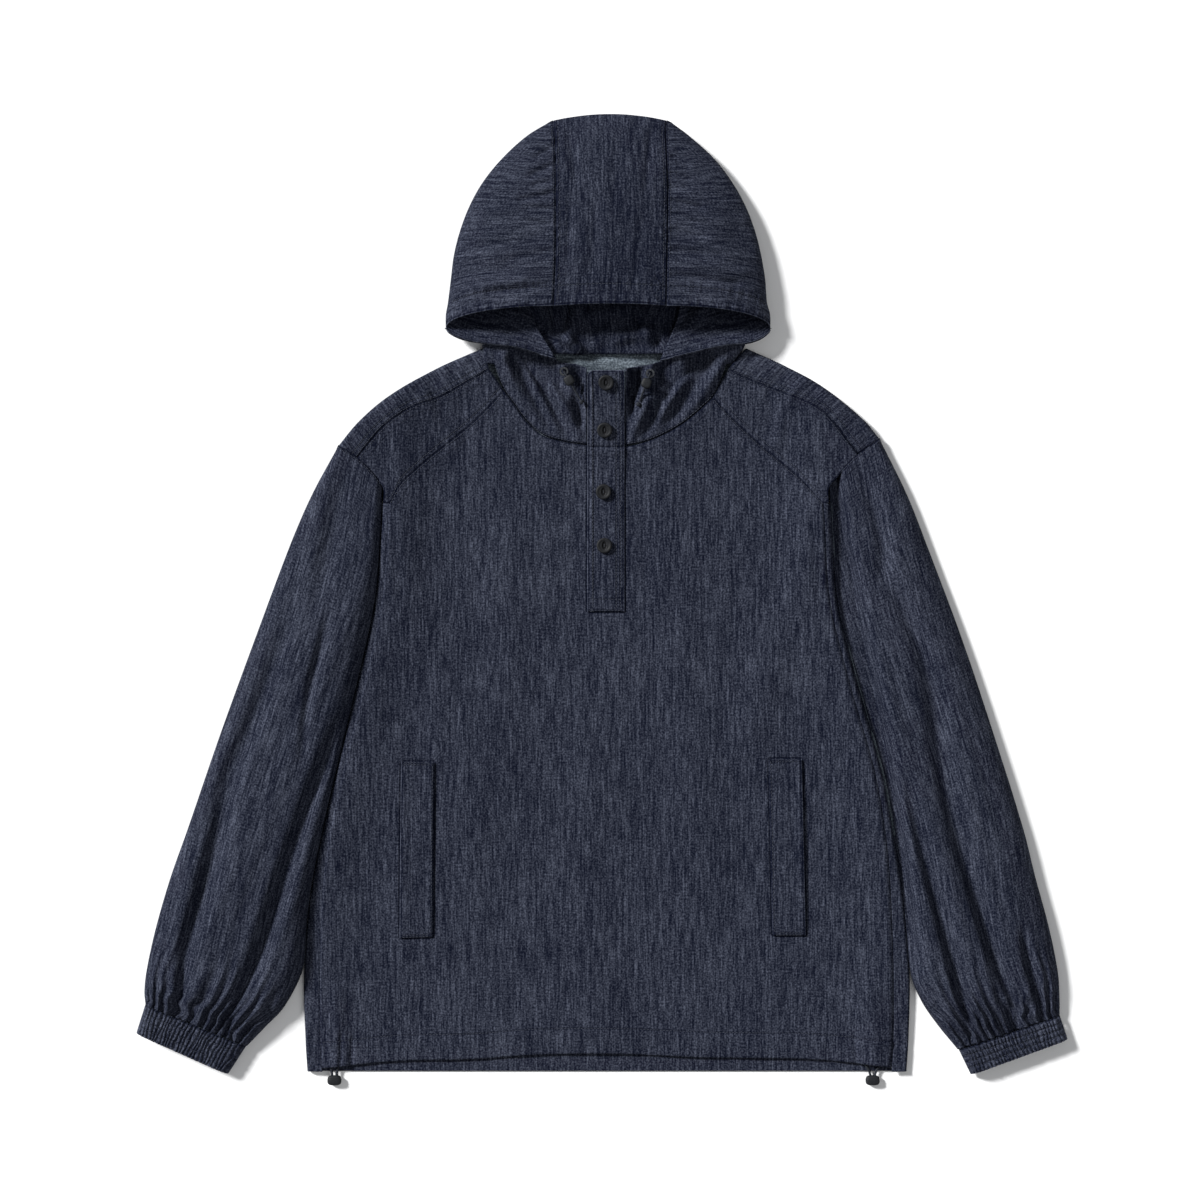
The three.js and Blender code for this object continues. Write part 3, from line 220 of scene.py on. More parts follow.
def braid_finish():
    """Braided cord: slanting strands, with a painted highlight on their crowns and painted shade between
    them.
    """
    material, tree, shader = blank("braid")
    where = tree.nodes.new("ShaderNodeTexCoord").outputs["Object"]
    slants = (where, joined(tree, "Mapping", Vector=where, Rotation=(0, 0, 1.6)))
    strands = [joined(tree, "TexWave", {"bands_direction": "DIAGONAL"}, Vector=slant, Scale=260,
                      Distortion=1.5) for slant in slants]
    lay = arith(tree, "MAXIMUM", strands[0].node.outputs["Fac"], strands[1].node.outputs["Fac"])
    # Painted highlight on the strand crowns and painted shade in the gaps between the strands.
    tree.links.new(toned(tree, lay, (0.003, 0.0035, 0.005, 1), (0.022, 0.025, 0.033, 1)),
                   shader.inputs["Base Color"])
    shader.inputs["Roughness"].default_value = 0.85
    shader.inputs["Specular IOR Level"].default_value = 0.15
    bump = joined(tree, "Bump", Height=lay, Distance=0.15 * MM, Strength=1.0)
    tree.links.new(bump, shader.inputs["Normal"])
    return material


braid = braid_finish()
lock_plastic = plain_finish("lock_plastic", (0.0085, 0.0095, 0.0115), 0.6, relief=0.03)
eyelet_metal = plain_finish("eyelet_metal", (0.09, 0.095, 0.105), 0.4, metallic=1, grain=900, relief=0.02)

# Spring locks: a rounded barrel with its plunger above a fine parting groove. Each has its place,
# its size and its turn, in degrees.
HEM_LOCK = (14, 10, 6.6)
HOOD_LOCK = (10, 10, 5.5)
LOCKS = {
    "hem_cord_lock_left": (LOCK_LEFT, HEM_LOCK, 0),
    "hem_cord_lock_right": ((267, -481, 3.4), HEM_LOCK, 0),
    "hood_cord_lock_left": ((-36.8, 218.9, 19.3), HOOD_LOCK, 29.8),
    "hood_cord_lock_right": ((40.2, 216, 20), HOOD_LOCK, -20.8),
}
SQUARENESS = 3.2
GROOVE_AT, GROOVE_WIDTH, GROOVE_DEPTH = 0.42, 0.06, 0.1
locks = {}
for name, (place, size, turn) in LOCKS.items():
    shape = bmesh.new()
    bmesh.ops.create_uvsphere(shape, u_segments=40, v_segments=28, radius=1)
    upright = Matrix.Rotation(math.pi / 2, 3, "X")
    bmesh.ops.rotate(shape, verts=shape.verts, cent=(0, 0, 0), matrix=upright)
    for vert in shape.verts:
        vert.co /= sum(abs(c) ** SQUARENESS for c in vert.co) ** (1 / SQUARENESS)
        groove = 1 - GROOVE_DEPTH * math.exp(-(((vert.co.y - GROOVE_AT) / GROOVE_WIDTH) ** 2))
        vert.co.x *= groove
        vert.co.z *= groove
    bmesh.ops.scale(shape, verts=shape.verts, vec=[s / 2 * MM for s in size])
    turned = Matrix.Rotation(math.radians(turn), 3, "Z")
    bmesh.ops.rotate(shape, verts=shape.verts, cent=(0, 0, 0), matrix=turned)
    bmesh.ops.translate(shape, verts=shape.verts, vec=placed(place))
    for face in shape.faces:
        face.smooth = True
    mesh = bpy.data.meshes.new(name + "_barrel")
    shape.to_mesh(mesh)
    shape.free()
    mesh.materials.append(lock_plastic)
    locks[name] = added(name + "_barrel", mesh)
    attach(locks[name], "root")
    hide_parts(name)

# The cords themselves, run through their locks. The knots and the eyelets keep their own meshes
# and only take a finish.
for name, route in CORD_ROUTES.items():
    diameter = (HEM_CORD if name.startswith("hem") else HOOD_CORD) * MM
    line = placed(through(route)(np.linspace(0, 1, CORD_STEPS)))
    curve = bpy.data.curves.new(name + "_line", "CURVE")
    curve.dimensions = "3D"
    curve.bevel_depth = diameter / 2
    curve.bevel_resolution = 4
    curve.use_fill_caps = True
    spline = curve.splines.new("POLY")
    spline.points.add(len(line) - 1)
    for point, place in zip(spline.points, line):
        point.co = (*place, 1)
    curve.materials.append(braid)
    cord = added(name + "_line", curve)
    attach(cord, "root")
    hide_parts(name)
for name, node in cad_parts.items():
    finish = eyelet_metal if "eyelet" in name else braid if "knot" in name else None
    if finish:
        node.data.materials.clear()
        node.data.materials.append(finish)

# The cloth. One light denim for the whole garment: an indigo warp with uneven slubs along the
# grain over a pale weft. Sewn edges are thicker, puckered along the stitching and worn at the fold, with a
# painted highlight along folded edges and painted shade in the stitch grooves.
CLOTH = 1.2
STITCH_ROW = 1.6     # how far in from a sewn edge its row of stitches lies
FLUSH = 0.9          # a sewn edge is drawn in this much, and a folded one stands proud
WARP_DARK = (0.0003, 0.0015, 0.0082, 1)
WARP_LIGHT = (0.064, 0.072, 0.100, 1)
INSIDE_DARK = (0.022, 0.030, 0.040, 1)
INSIDE_LIGHT = (0.19, 0.225, 0.26, 1)
# How far from an edge, a row or an outline its wear and painted highlight, its groove and painted shade,
# and its puckers fade out: from this distance to that one. PUCKER_SIZE is along the edge and in from it.
EDGE_WEAR_AND_HIGHLIGHT = (0.4, 1.5)
ROW_GROOVE = (0.3, 1.05)
OUTLINE_GROOVE = (0.4, 1.2)
PUCKER_REACH = (1.5, 13.0)
PUCKER_SIZE = (5.5, 30.0)


def denim_group():
    """Colour, roughness and height of the denim, from the grain map and the sewn-edge map."""
    tree = bpy.data.node_groups.new("denim_weave", "ShaderNodeTree")
    face = tree.interface
    for socket_name, kind, start in [
        ("Grain", "NodeSocketVector", None), ("Sewn", "NodeSocketVector", None),
        ("Dark", "NodeSocketColor", WARP_DARK), ("Light", "NodeSocketColor", WARP_LIGHT),
        ("Row A", "NodeSocketFloat", 1.6), ("Row B", "NodeSocketFloat", -9.0),
        ("Allowance", "NodeSocketFloat", 9.0), ("Pucker", "NodeSocketFloat", 1.0),
        ("Wear_and_highlight", "NodeSocketFloat", 0.2), ("Tone", "NodeSocketFloat", 0.5),
        ("Outline", "NodeSocketVector", (1, 1, 1)),
    ]:
        socket = face.new_socket(name=socket_name, in_out="INPUT", socket_type=kind)
        if start is not None:
            socket.default_value = start
    for socket_name, kind in [("Color", "NodeSocketColor"), ("Roughness", "NodeSocketFloat"),
                              ("Height", "NodeSocketFloat")]:
        face.new_socket(name=socket_name, in_out="OUTPUT", socket_type=kind)
    given = tree.nodes.new("NodeGroupInput").outputs
    out = tree.nodes.new("NodeGroupOutput")
    add, less, times, over, most, size_of = (
        partial(arith, tree, kind)
        for kind in ("ADD", "SUBTRACT", "MULTIPLY", "DIVIDE", "MAXIMUM", "ABSOLUTE"))

    def threads(across, along, detail=2.0, shift=0.0):
        """Noise drawn out along the grain: the two sizes are in millimetres."""
        scaled = joined(tree, "VectorMath", {"operation": "MULTIPLY_ADD"}, i0=given["Grain"],
                        i1=(1000 / across, 1000 / along, 0), i2=(shift, shift * 1.7, 0))
        return joined(tree, "TexNoise", {"noise_dimensions": "2D"}, Vector=scaled, Scale=1.0, Detail=detail)

    def weigh(parts, total):
        """The total, plus each noise about its middle times its weight."""
        for value, weight in parts:
            total = add(total, times(less(value, 0.5), weight))
        return total

    # Slubs of the warp in four sizes, weft bars across them, and the salt-and-pepper of the weave.
    fine = threads(1.6, 17, shift=3.1)
    slub = threads(3.2, 46, shift=11.3)
    band = threads(12, 110, shift=23.7)
    cloud = threads(85, 110, shift=5.9)
    weft = threads(10, 1.7, shift=31.9)
    speckle = threads(1.7, 1.9, detail=3.0, shift=41.3)
    tone = weigh([(fine, 0.85), (slub, 0.66), (band, 0.24), (cloud, 0.16), (weft, 0.35), (speckle, 1.35)],
                 given["Tone"])

    # Sewn edges: distance in from the edge and run along it, in millimetres.
    parted = joined(tree, "VectorMath", {"operation": "SCALE"}, Vector=given["Sewn"], Scale=1000.0)
    split = tree.nodes.new("ShaderNodeSeparateXYZ")
    tree.links.new(parted, split.inputs[0])
    run, depth = split.outputs[0], split.outputs[1]

    def fade(distance, near, far):
        """1 up to the near distance, and 0 from the far one."""
        return joined(tree, "MapRange", {"interpolation_type": "SMOOTHSTEP"}, Value=distance,
                      i1=near, i2=far, i3=1.0, i4=0.0)

    worn_and_lit = fade(depth, *EDGE_WEAR_AND_HIGHLIGHT)
    thick = fade(depth, less(given["Allowance"], 1.2), given["Allowance"])
    wave_at = joined(tree, "CombineXYZ", X=over(run, PUCKER_SIZE[0]), Y=over(depth, PUCKER_SIZE[1]))
    waves = joined(tree, "TexNoise", {"noise_dimensions": "2D"}, Vector=wave_at, Scale=1.0, Detail=1.5)
    pull = times(times(less(waves, 0.5), fade(depth, *PUCKER_REACH)), given["Pucker"])
    rows = None
    for row in ("Row A", "Row B"):
        beside = size_of(less(depth, given[row]))
        groove = fade(beside, *ROW_GROOVE)
        rows = groove if rows is None else most(rows, groove)
    aside = tree.nodes.new("ShaderNodeSeparateXYZ")
    tree.links.new(given["Outline"], aside.inputs[0])
    beside = size_of(times(aside.outputs[0], 1000.0))
    rows = most(rows, fade(beside, *OUTLINE_GROOVE))
    # Lighter at folded and sewn edges: partly real wear, partly a painted highlight along the fold.
    tone = add(tone, times(worn_and_lit, given["Wear_and_highlight"]))
    tone = add(tone, times(pull, 0.35))
    # Darker in the stitch grooves, the pressed creases and along the outlines of sewn-down pieces: painted
    # shade.
    tone = less(tone, times(rows, 0.3))
    # Squared, so that pale slubs stand out on the darker ground.
    tone = arith(tree, "POWER", most(tone, 0.02), 2.0)
    colour = joined(tree, "Mix", {"data_type": "RGBA", "clamp_factor": True})
    mix = colour.node
    tree.links.new(tone, mix.inputs["Factor"])
    tree.links.new(given["Dark"], mix.inputs[6])
    tree.links.new(given["Light"], mix.inputs[7])
    tree.links.new(mix.outputs[2], out.inputs["Color"])
    tree.links.new(weigh([(speckle, 0.2)], 0.86), out.inputs["Roughness"])

    # Height in millimetres: threads, the double edge, its puckers and the stitch grooves.
    height = weigh([(fine, 0.07), (weft, 0.05), (speckle, 0.10), (slub, 0.10)], 0.0)
    for value, weight in [(thick, 0.28), (pull, 1.6), (rows, -0.4)]:
        height = add(height, times(value, weight))
    tree.links.new(height, out.inputs["Height"])
    return tree


weave = denim_group()


def denim(name, dark=WARP_DARK, light=WARP_LIGHT, row_a=1.6, row_b=-9.0, allowance=9.0, pucker=0.5,
          wear_and_highlight=0.0, tone=0.5, outlined=False):
    """Denim with its stitch rows this far in from the sewn edges, in millimetres."""
    material, tree, shader = blank(name)
    cloth = tree.nodes.new("ShaderNodeGroup")
    cloth.node_tree = weave
    maps = [("Grain", "grain"), ("Sewn", "sewn"), ("Outline", "outline")]
    for socket_name, map_name in maps if outlined else maps[:2]:
        source = tree.nodes.new("ShaderNodeUVMap")
        source.uv_map = map_name
        tree.links.new(source.outputs[0], cloth.inputs[socket_name])
    for socket_name, value in {"Dark": dark, "Light": light, "Row A": row_a, "Row B": row_b,
                               "Allowance": allowance, "Pucker": pucker, "Wear_and_highlight": wear_and_highlight, "Tone": tone}.items():
        cloth.inputs[socket_name].default_value = value
    tree.links.new(cloth.outputs["Color"], shader.inputs["Base Color"])
    tree.links.new(cloth.outputs["Roughness"], shader.inputs["Roughness"])
    bump = joined(tree, "Bump", Height=cloth.outputs["Height"], Distance=MM, Strength=0.8)
    tree.links.new(bump, shader.inputs["Normal"])
    shader.inputs["Specular IOR Level"].default_value = 0.08
    return material


denim_face = denim("denim_face")
denim_inside = denim("denim_inside", dark=INSIDE_DARK, light=INSIDE_LIGHT, row_a=-9)
topstitching = []    # every row that is stitched, as points in millimetres


def sewn_map(points, folded, sewn, rows):
    """How far each point is from the nearest folded or sewn edge, and how far along it. A row of
    stitches away from any edge counts as lying where an edge's own row does."""
    best = np.full(len(points), FAR)
    run = np.zeros(len(points))
    starts_at = [(edge, 0) for edge in folded] + [(edge, FLUSH) for edge in sewn]
    for line, start_at in starts_at + [(row, STITCH_ROW) for row in rows]:
        line = np.asarray(line, float)
        starts, ways = line[:-1], np.diff(line, axis=0)
        sizes = np.maximum(np.linalg.norm(ways, axis=1), 1e-6)
        passed = np.concatenate([[0], np.cumsum(sizes)])
        for k, (start, way, size) in enumerate(zip(starts, ways, sizes)):
            near = np.linalg.norm(points - start, axis=1) < best + size
            if not near.any():
                continue
            share = np.clip((points[near] - start) @ way / size**2, 0, 1)
            distance = np.linalg.norm(points[near] - start - share[:, None] * way, axis=1) + start_at
            closer = distance < best[near]
            where = np.flatnonzero(near)[closer]
            best[where] = distance[closer]
            run[where] = passed[k] + share[closer] * size
    return run, best


def outline_map(points, lines):
    """How far each point is, in plan, from the nearest line, less than 0 on the right of its way."""
    best = np.full(len(points), FAR)
    for line in lines:
        corners = np.array(line, float)[:, :2]
        for start, way in zip(corners[:-1], np.diff(corners, axis=0)):
            share = np.clip((points - start) @ way / (way @ way), 0, 1)
            gap = points - start - share[:, None] * way
            distance = np.hypot(*gap.T)
            side = np.where(way[0] * gap[:, 1] - way[1] * gap[:, 0] < 0, -1, 1)
            best = np.where(distance < np.abs(best) - 1e-9, side * distance, best)
    return best


def inset(surface, side, distance, start=0.0, end=1.0, reach=0.12, count=120):
    """A row this many millimetres in from one side of a surface, between two places along it."""
    along, into = np.meshgrid(np.linspace(start, end, count), np.linspace(0, reach, 30), indexing="ij")
    u, v = {"s": (along, into), "n": (along, 1 - into), "w": (into, along), "e": (1 - into, along)}[side]
    points = surface(u, v)
    passed = np.cumsum(np.linalg.norm(np.diff(points, axis=1, prepend=points[:, :1]), axis=2), axis=1)
    return np.array([[np.interp(distance, way, line[:, k]) for k in range(3)]
                     for way, line in zip(passed, points)])


def spaced(count, ends=0.0):
    """count steps from 0 to 1, closer together towards both ends."""
    at = np.linspace(0, 1, count + 1)
    at = at - ends * np.sin(2 * np.pi * at) / (2 * np.pi)
    return np.round(at, 6)


def merged(*runs):
    """All the places of these runs, in order and each once."""
    return np.unique(np.concatenate(runs))


def cloth(name, across, along, surface, sewn="", folded="", rows=(), pressed=(), outlines=(),
          thickness=CLOTH, tube=False, grain="length", finish=denim_face, inside=None, keep=None):
    """A cloth panel: a grid laid on its outer face, with its grain and sewn-edge maps and its wall.
    sewn and folded name its finished edges as sides of the grid: s and n, w and e. rows are stitched,
    pressed lines only creased, and outlines are the edges of pieces that are sewn down on it."""
    topstitching.extend(rows)
    grid = bmesh.new()
    bmesh.ops.create_grid(grid, x_segments=len(across) - 1, y_segments=len(along) - 1, size=0.5)
    mesh = bpy.data.meshes.new(name)
    grid.to_mesh(mesh)
    grid.free()
    flat = np.empty(len(mesh.vertices) * 3)
    mesh.vertices.foreach_get("co", flat)
    flat = flat.reshape(-1, 3)[:, :2] + 0.5
    column_at = np.rint(flat[:, 0] * (len(across) - 1)).astype(int)
    row_at = np.rint(flat[:, 1] * (len(along) - 1)).astype(int)
    u, v = np.meshgrid(across, along)
    points = surface(u.ravel(), v.ravel()).reshape(*u.shape, 3)
    edges = {"s": points[0], "n": points[-1], "w": points[:, 0], "e": points[:, -1]}
    flat_points = points.reshape(-1, 3)
    run, depth = sewn_map(flat_points, *([edges[side] for side in sides] for sides in (folded, sewn)),
                          [*rows, *pressed])
    maps = {"sewn": np.stack([run, depth], axis=-1).reshape(*u.shape, 2)}
    # The outline map lets the finish draw a painted shadow line: darker cloth beside the pieces sewn down on
    # this panel.
    if outlines:
        aside = outline_map(flat_points[:, :2], outlines).reshape(u.shape)
        maps["outline"] = np.stack([aside, aside], axis=-1)
    if grain == "plan":
        warp = points[..., :2]
    else:
        middle = len(across) // 2
        step_u = np.linalg.norm(np.diff(points, axis=1), axis=2)
        step_v = np.linalg.norm(np.diff(points, axis=0), axis=2)
        over = np.concatenate([np.zeros((len(along), 1)), np.cumsum(step_u, axis=1)], axis=1)
        over -= over[:, middle:middle + 1]
        down = np.concatenate([[0], np.cumsum(step_v.mean(axis=1))])[:, None] + 0 * over
        warp = np.stack([over, down], axis=-1)
    if grain == "plan_crosswise":
        warp = points[..., 1::-1]
    elif grain == "crosswise":
        warp = warp[..., ::-1]
    metres = placed(points)[row_at, column_at]
    mesh.vertices.foreach_set("co", metres.ravel())
    corners = np.empty(len(mesh.loops), int)
    mesh.loops.foreach_get("vertex_index", corners)
    maps["grain"] = warp
    for map_name, values in maps.items():
        layer = mesh.uv_layers.new(name=map_name)
        layer.data.foreach_set("uv", (values[row_at, column_at][corners] * MM).ravel())
    shape = bmesh.new()
    shape.from_mesh(mesh)
    if tube:
        bmesh.ops.remove_doubles(shape, verts=shape.verts, dist=1e-6)
    if keep is not None:
        dropped = [f for f in shape.faces if not keep(*((f.calc_center_median() - garment_zero) / MM))]
        bmesh.ops.delete(shape, geom=dropped, context="FACES")
    shape.faces.ensure_lookup_table()
    highest = max(shape.faces, key=lambda f: f.calc_center_median().z * (abs(f.normal.z) > 0.7))
    if highest.normal.z < 0:
        bmesh.ops.reverse_faces(shape, faces=shape.faces)
    for face in shape.faces:
        face.smooth = True
    shape.to_mesh(mesh)
    shape.free()
    piece = added(name, mesh)
    mesh.materials.append(finish)
    wall = piece.modifiers.new("wall", "SOLIDIFY")
    wall.thickness = thickness * MM
    wall.offset = -1
    if inside is not None:
        mesh.materials.append(inside)
        wall.material_offset = 1
    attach(piece, "root")
    return piece


# The front body. One panel from the yoke seams and the neckline to the hem, where its edge is
# turned up for the drawcord. Every front panel lies on the one height that its folds give.
def column(rows, key, value):
    """Reads a named column of a table at any place, on a smooth curve through its rows."""
    rows = sorted(rows, key=lambda row: row[key])
    at, read = (np.array([row[name] for row in rows], float) for name in (key, value))
    last = len(rows) - 1
    before = np.maximum(np.arange(last + 1) - 1, 0)
    after = np.minimum(np.arange(last + 1) + 1, last)
    slope = (read[after] - read[before]) / (at[after] - at[before])

    def value_at(place):
        t = np.clip(place, at[0], at[-1])
        i = np.clip(np.searchsorted(at, t, side="right") - 1, 0, last - 1)
        span = at[i + 1] - at[i]
        s = (t - at[i]) / span
        bend = s * (1 - s) ** 2 * slope[i] - s * s * (1 - s) * slope[i + 1]
        return read[i] + s * s * (3 - 2 * s) * (read[i + 1] - read[i]) + bend * span
    return value_at


def table(names, rows):
    """Rows with named columns."""
    return [dict(zip(names.split(), row)) for row in rows]


def bump(offset, width):
    """A soft hump: 1 at its middle, and nearly 0 two widths off."""
    return np.exp(-((offset / width) ** 2))


def quarter(distance, radius):
    """A quarter circle: 0 at an edge and 1 from one radius in."""
    return np.sqrt(1 - (1 - np.clip(distance / radius, 0, 1)) ** 2)


def smooth(value, low, high):
    """A soft step from 0 at low to 1 at high."""
    s = np.clip((value - low) / (high - low), 0, 1)
    return s * s * (3 - 2 * s)


def drift(x, y, size_x, size_y, seed):
    """Soft uneven ground between -1 and 1, with swells of these sizes."""
    lattice = np.random.default_rng(seed).uniform(-1, 1, (97, 97))
    gx, gy = x / size_x + 40, y / size_y + 40
    ix, iy = np.floor(gx).astype(int), np.floor(gy).astype(int)
    fx, fy = gx - ix, gy - iy
    fx, fy = fx * fx * (3 - 2 * fx), fy * fy * (3 - 2 * fy)
    corner = [[lattice[(iy + dy) % 97, (ix + dx) % 97] for dx in (0, 1)] for dy in (0, 1)]
    low = corner[0][0] * (1 - fx) + corner[0][1] * fx
    high = corner[1][0] * (1 - fx) + corner[1][1] * fx
    return low * (1 - fy) + high * fy


SIDES = table("y left right seam puff", [
    (115, -223, 223, 7, 7), (70, -225, 226, 7, 7), (0, -231, 231, 7, 6), (-80, -248, 250, 7, 6),
    (-172, -270, 276, 7, 6), (-243, -286, 289, 8, 5), (-300, -296.5, 297.5, 12, 4),
    (-375, -302.5, 304, 16, 3), (-440, -301, 303, 15, 1.6), (-472, -299, 301, 15, 1.2),
])
side_left, side_right, side_seam, side_puff = (
    column(SIDES, "y", name) for name in ("left", "right", "seam", "puff"))
HEM = table("x y", [
    (-300, -471), (-262, -467), (-209, -462), (-131, -460), (-66, -455.5), (14, -455), (102, -458.6),
    (200, -460), (258, -465), (301, -471),
])
hem_edge = column(HEM, "x", "y")
BACK_HEM_Y = -472
BODY_HEIGHT = 4.0
SHOULDER_PUFF = 4.5
NECK_PUFF = 2.2
NECK_OVAL = dict(half_width=112, half_length=82, y=235)
ROLL_WIDTH = 34       # the sides and shoulders level off over this, from ROLL_START in from the edge
ROLL_START = dict(side=9, shoulder=12)
CASING = 26
CASING_RAISE = 0.7
HEM_ROLL, HEM_ROLL_WIDTH = 0.9, 2.2      # the hem's edge rounds down this much, over this width
BODY_RIDGES = table("x0 y0 x1 y1 rise width", [
    (-205, 60, -165, -110, 2, 28), (205, 70, 150, -120, 2.4, 22), (-95, 60, -120, -210, 1.4, 26),
    (80, 20, 95, -260, 1.5, 26), (-20, -200, -10, -420, 1.2, 30), (-185, 205, -160, 165, 1.8, 10),
    (185, 215, 172, 160, 2.2, 8), (-270, -400, -267, -468, 2.6, 9), (266, -400, 267, -468, 2.8, 15),
])
# Finer creases: beside the placket, under the yokes, over the welts and where the hem is drawn in.
FINE_CREASES = table("x0 y0 x1 y1 rise width", [
    (-265, -437, -266, -467, -1.9, 2.4), (-254, -440, -255, -464, -1.4, 2.4),
    (-283, -438, -281, -468, -0.8, 3), (249, -438, 251, -464, -1.1, 3),
    (280, -440, 279, -468, -1.2, 2.6), (289, -446, 287, -468, -0.7, 2.6),
    (-225, -446, -228, -462, -0.5, 4), (222, -446, 226, -462, -0.5, 4),
    (164, 209, 166, 168, -1.0, 4.5), (178, 206, 181, 166, -1.1, 4), (-168, 200, -163, 160, -0.9, 5),
    (-146, 196, -140, 158, -0.8, 5), (-214, 88, -206, 10, -0.8, 6), (208, 80, 214, 0, -0.9, 6),
    (-36, 128, -30, 40, -0.5, 7), (34, 120, 40, 30, -0.5, 7), (-150, -90, -158, -170, -0.5, 9),
])
SHOULDER = {
    "left": dict(fold=[(-122.5, 252.5), (-171, 231), (-219, 203), (-248, 178), (-268, 154)],
                 seam=[(-117, 231), (-167, 203), (-194, 193), (-222, 174), (-249, 142.5)]),
    "right": dict(fold=[(140, 252), (178, 235), (216, 214), (258, 180), (274, 161)],
                  seam=[(122, 231), (145, 220), (176, 208), (215, 190), (252.4, 146)]),
}
shoulder_left, shoulder_right = (column(table("x y", SHOULDER[side]["fold"]), "x", "y") for side in SHOULDER)
NECK_Y = 153


def ridges(x, y, rows):
    """Height of these rows of soft ridges, each from x0, y0 to x1, y1; less than 0 is a trough."""
    height = 0
    for row in rows:
        length = math.hypot(row["x1"] - row["x0"], row["y1"] - row["y0"])
        dx, dy = (row["x1"] - row["x0"]) / length, (row["y1"] - row["y0"]) / length
        run = (x - row["x0"]) * dx + (y - row["y0"]) * dy
        past = np.maximum(0, np.maximum(-run, run - length))
        aside = (x - row["x0"]) * dy - (y - row["y0"]) * dx
        height = height + row["rise"] * bump(aside, row["width"]) * bump(past, row["width"] * 1.6)
    return height


def body_top(x, y):
    """Height of the front's outer face over the floor, with its drape."""
    to_side = np.minimum(x - side_left(y), side_right(y) - x)
    side = side_puff(y) * bump(np.maximum(0, to_side - ROLL_START["side"]), ROLL_WIDTH)
    to_shoulder = np.where(x < 0, shoulder_left(x), shoulder_right(x)) - y
    shoulder = SHOULDER_PUFF * bump(np.maximum(0, to_shoulder - ROLL_START["shoulder"]), ROLL_WIDTH)
    oval = np.hypot(x / NECK_OVAL["half_width"], (y - NECK_OVAL["y"]) / NECK_OVAL["half_length"])
    neck = NECK_PUFF * bump(oval - 1, 0.3)
    drape = 0.45 * drift(x + 0.12 * y, y, 34, 150, 1) + 0.22 * drift(x - 0.1 * y, y, 13, 70, 2)
    broad = BODY_HEIGHT + np.sqrt(side**2 + shoulder**2 + neck**2) + ridges(x, y, BODY_RIDGES)
    return broad + drape + ridges(x, y, FINE_CREASES)


FRONT_TOP = [
    (-216, 97), (-204, 117), (-191.5, 129), (-179, 140), (-158, 157), (-137, 174), (-119, 191), (-102, 209),
    (-93, 197), (-80, 179), (-64, 165), (-41, 158), (-20, 155), (0, 153), (23, 154), (41, 158.5),
    (59, 166), (78, 177), (97, 193), (107, 203), (120, 188), (134, 174), (150, 159), (166, 145),
    (180, 133.5), (193, 122), (216.5, 97),
]
NECK_LEFT, NECK_RIGHT = 7, 19      # corners of that edge, where the neckline meets the yoke seams
TOP_LAST = len(FRONT_TOP) - 1
top_stretches = [through(part, by_index=True) for part in
                 (FRONT_TOP[:NECK_LEFT + 1], FRONT_TOP[NECK_LEFT:NECK_RIGHT + 1], FRONT_TOP[NECK_RIGHT:])]


def front_top(at):
    """The front's top edge; at counts its points from 0."""
    left = top_stretches[0](at / NECK_LEFT)
    middle = top_stretches[1]((at - NECK_LEFT) / (NECK_RIGHT - NECK_LEFT))
    right = top_stretches[2]((at - NECK_RIGHT) / (TOP_LAST - NECK_RIGHT))
    at = np.asarray(at)[..., None]
    return np.where(at < NECK_LEFT, left, np.where(at > NECK_RIGHT, right, middle))


def front_surface(u, v):
    """u counts the points of the top edge, and v runs from the hem, 0, to the top edge, 1."""
    top = front_top(u)
    west, east = (lambda y: side_left(y) + side_seam(y)), (lambda y: side_right(y) - side_seam(y))
    share = (top[..., 0] - west(top[..., 1])) / (east(top[..., 1]) - west(top[..., 1]))
    share = np.where(u <= 0, 0, np.where(u >= TOP_LAST, 1, share))
    foot = west(BACK_HEM_Y) + share * (east(BACK_HEM_Y) - west(BACK_HEM_Y))
    hem_y = hem_edge(foot)
    y = hem_y + (top[..., 1] - hem_y) * v
    x = np.where(v >= 1, top[..., 0], west(y) + share * (east(y) - west(y)))
    casing = CASING_RAISE * (1 - smooth(y - hem_y, CASING - 1.5, CASING + 0.5))
    turned = HEM_ROLL * (1 - quarter(y - hem_y, HEM_ROLL_WIDTH))
    return np.stack([x, y, body_top(x, y) + casing - turned], axis=-1)


# The grid is closer at both ends of the hem, along the casing's row and at the hem and top edge.
front_columns = merged(np.linspace(0, TOP_LAST, 157), np.linspace(0.4, 3.4, 45),
                       np.linspace(22.8, 25.6, 42), [NECK_LEFT, NECK_RIGHT])
front_rows = merged(np.linspace(0, 1, 150), 0.002 * np.arange(1, 4), 0.04 + 0.0022 * np.arange(5),
                    1 - 0.003 * np.arange(1, 5))
STAND_HALF = 13.3    # the slit for the button stand: half its width, and its foot
SLIT_FOOT = -6
denim_body = denim("denim_body", pucker=0.4)
denim_front = denim("denim_front", pucker=0.4, outlined=True)
front_seams = [inset(front_surface, "n", STITCH_ROW, *span) for span in
               ((0, NECK_LEFT), (NECK_RIGHT, TOP_LAST))]
hem_row = inset(front_surface, "s", CASING, 0, TOP_LAST)
PLACKET_WIDTH = 37.2
PLACKET_EDGE = PLACKET_WIDTH / 2
PLACKET_TOP, PLACKET_FOOT = 229, -12
WELT_WIDTH = 33
WELTS = {
    "left": dict(x0=-205, x1=-206.5, y0=-162, y1=-338, lean=-2, mouth=-1),
    "right": dict(x0=163, x1=167, y0=-159, y1=-336, lean=0, mouth=1),
}


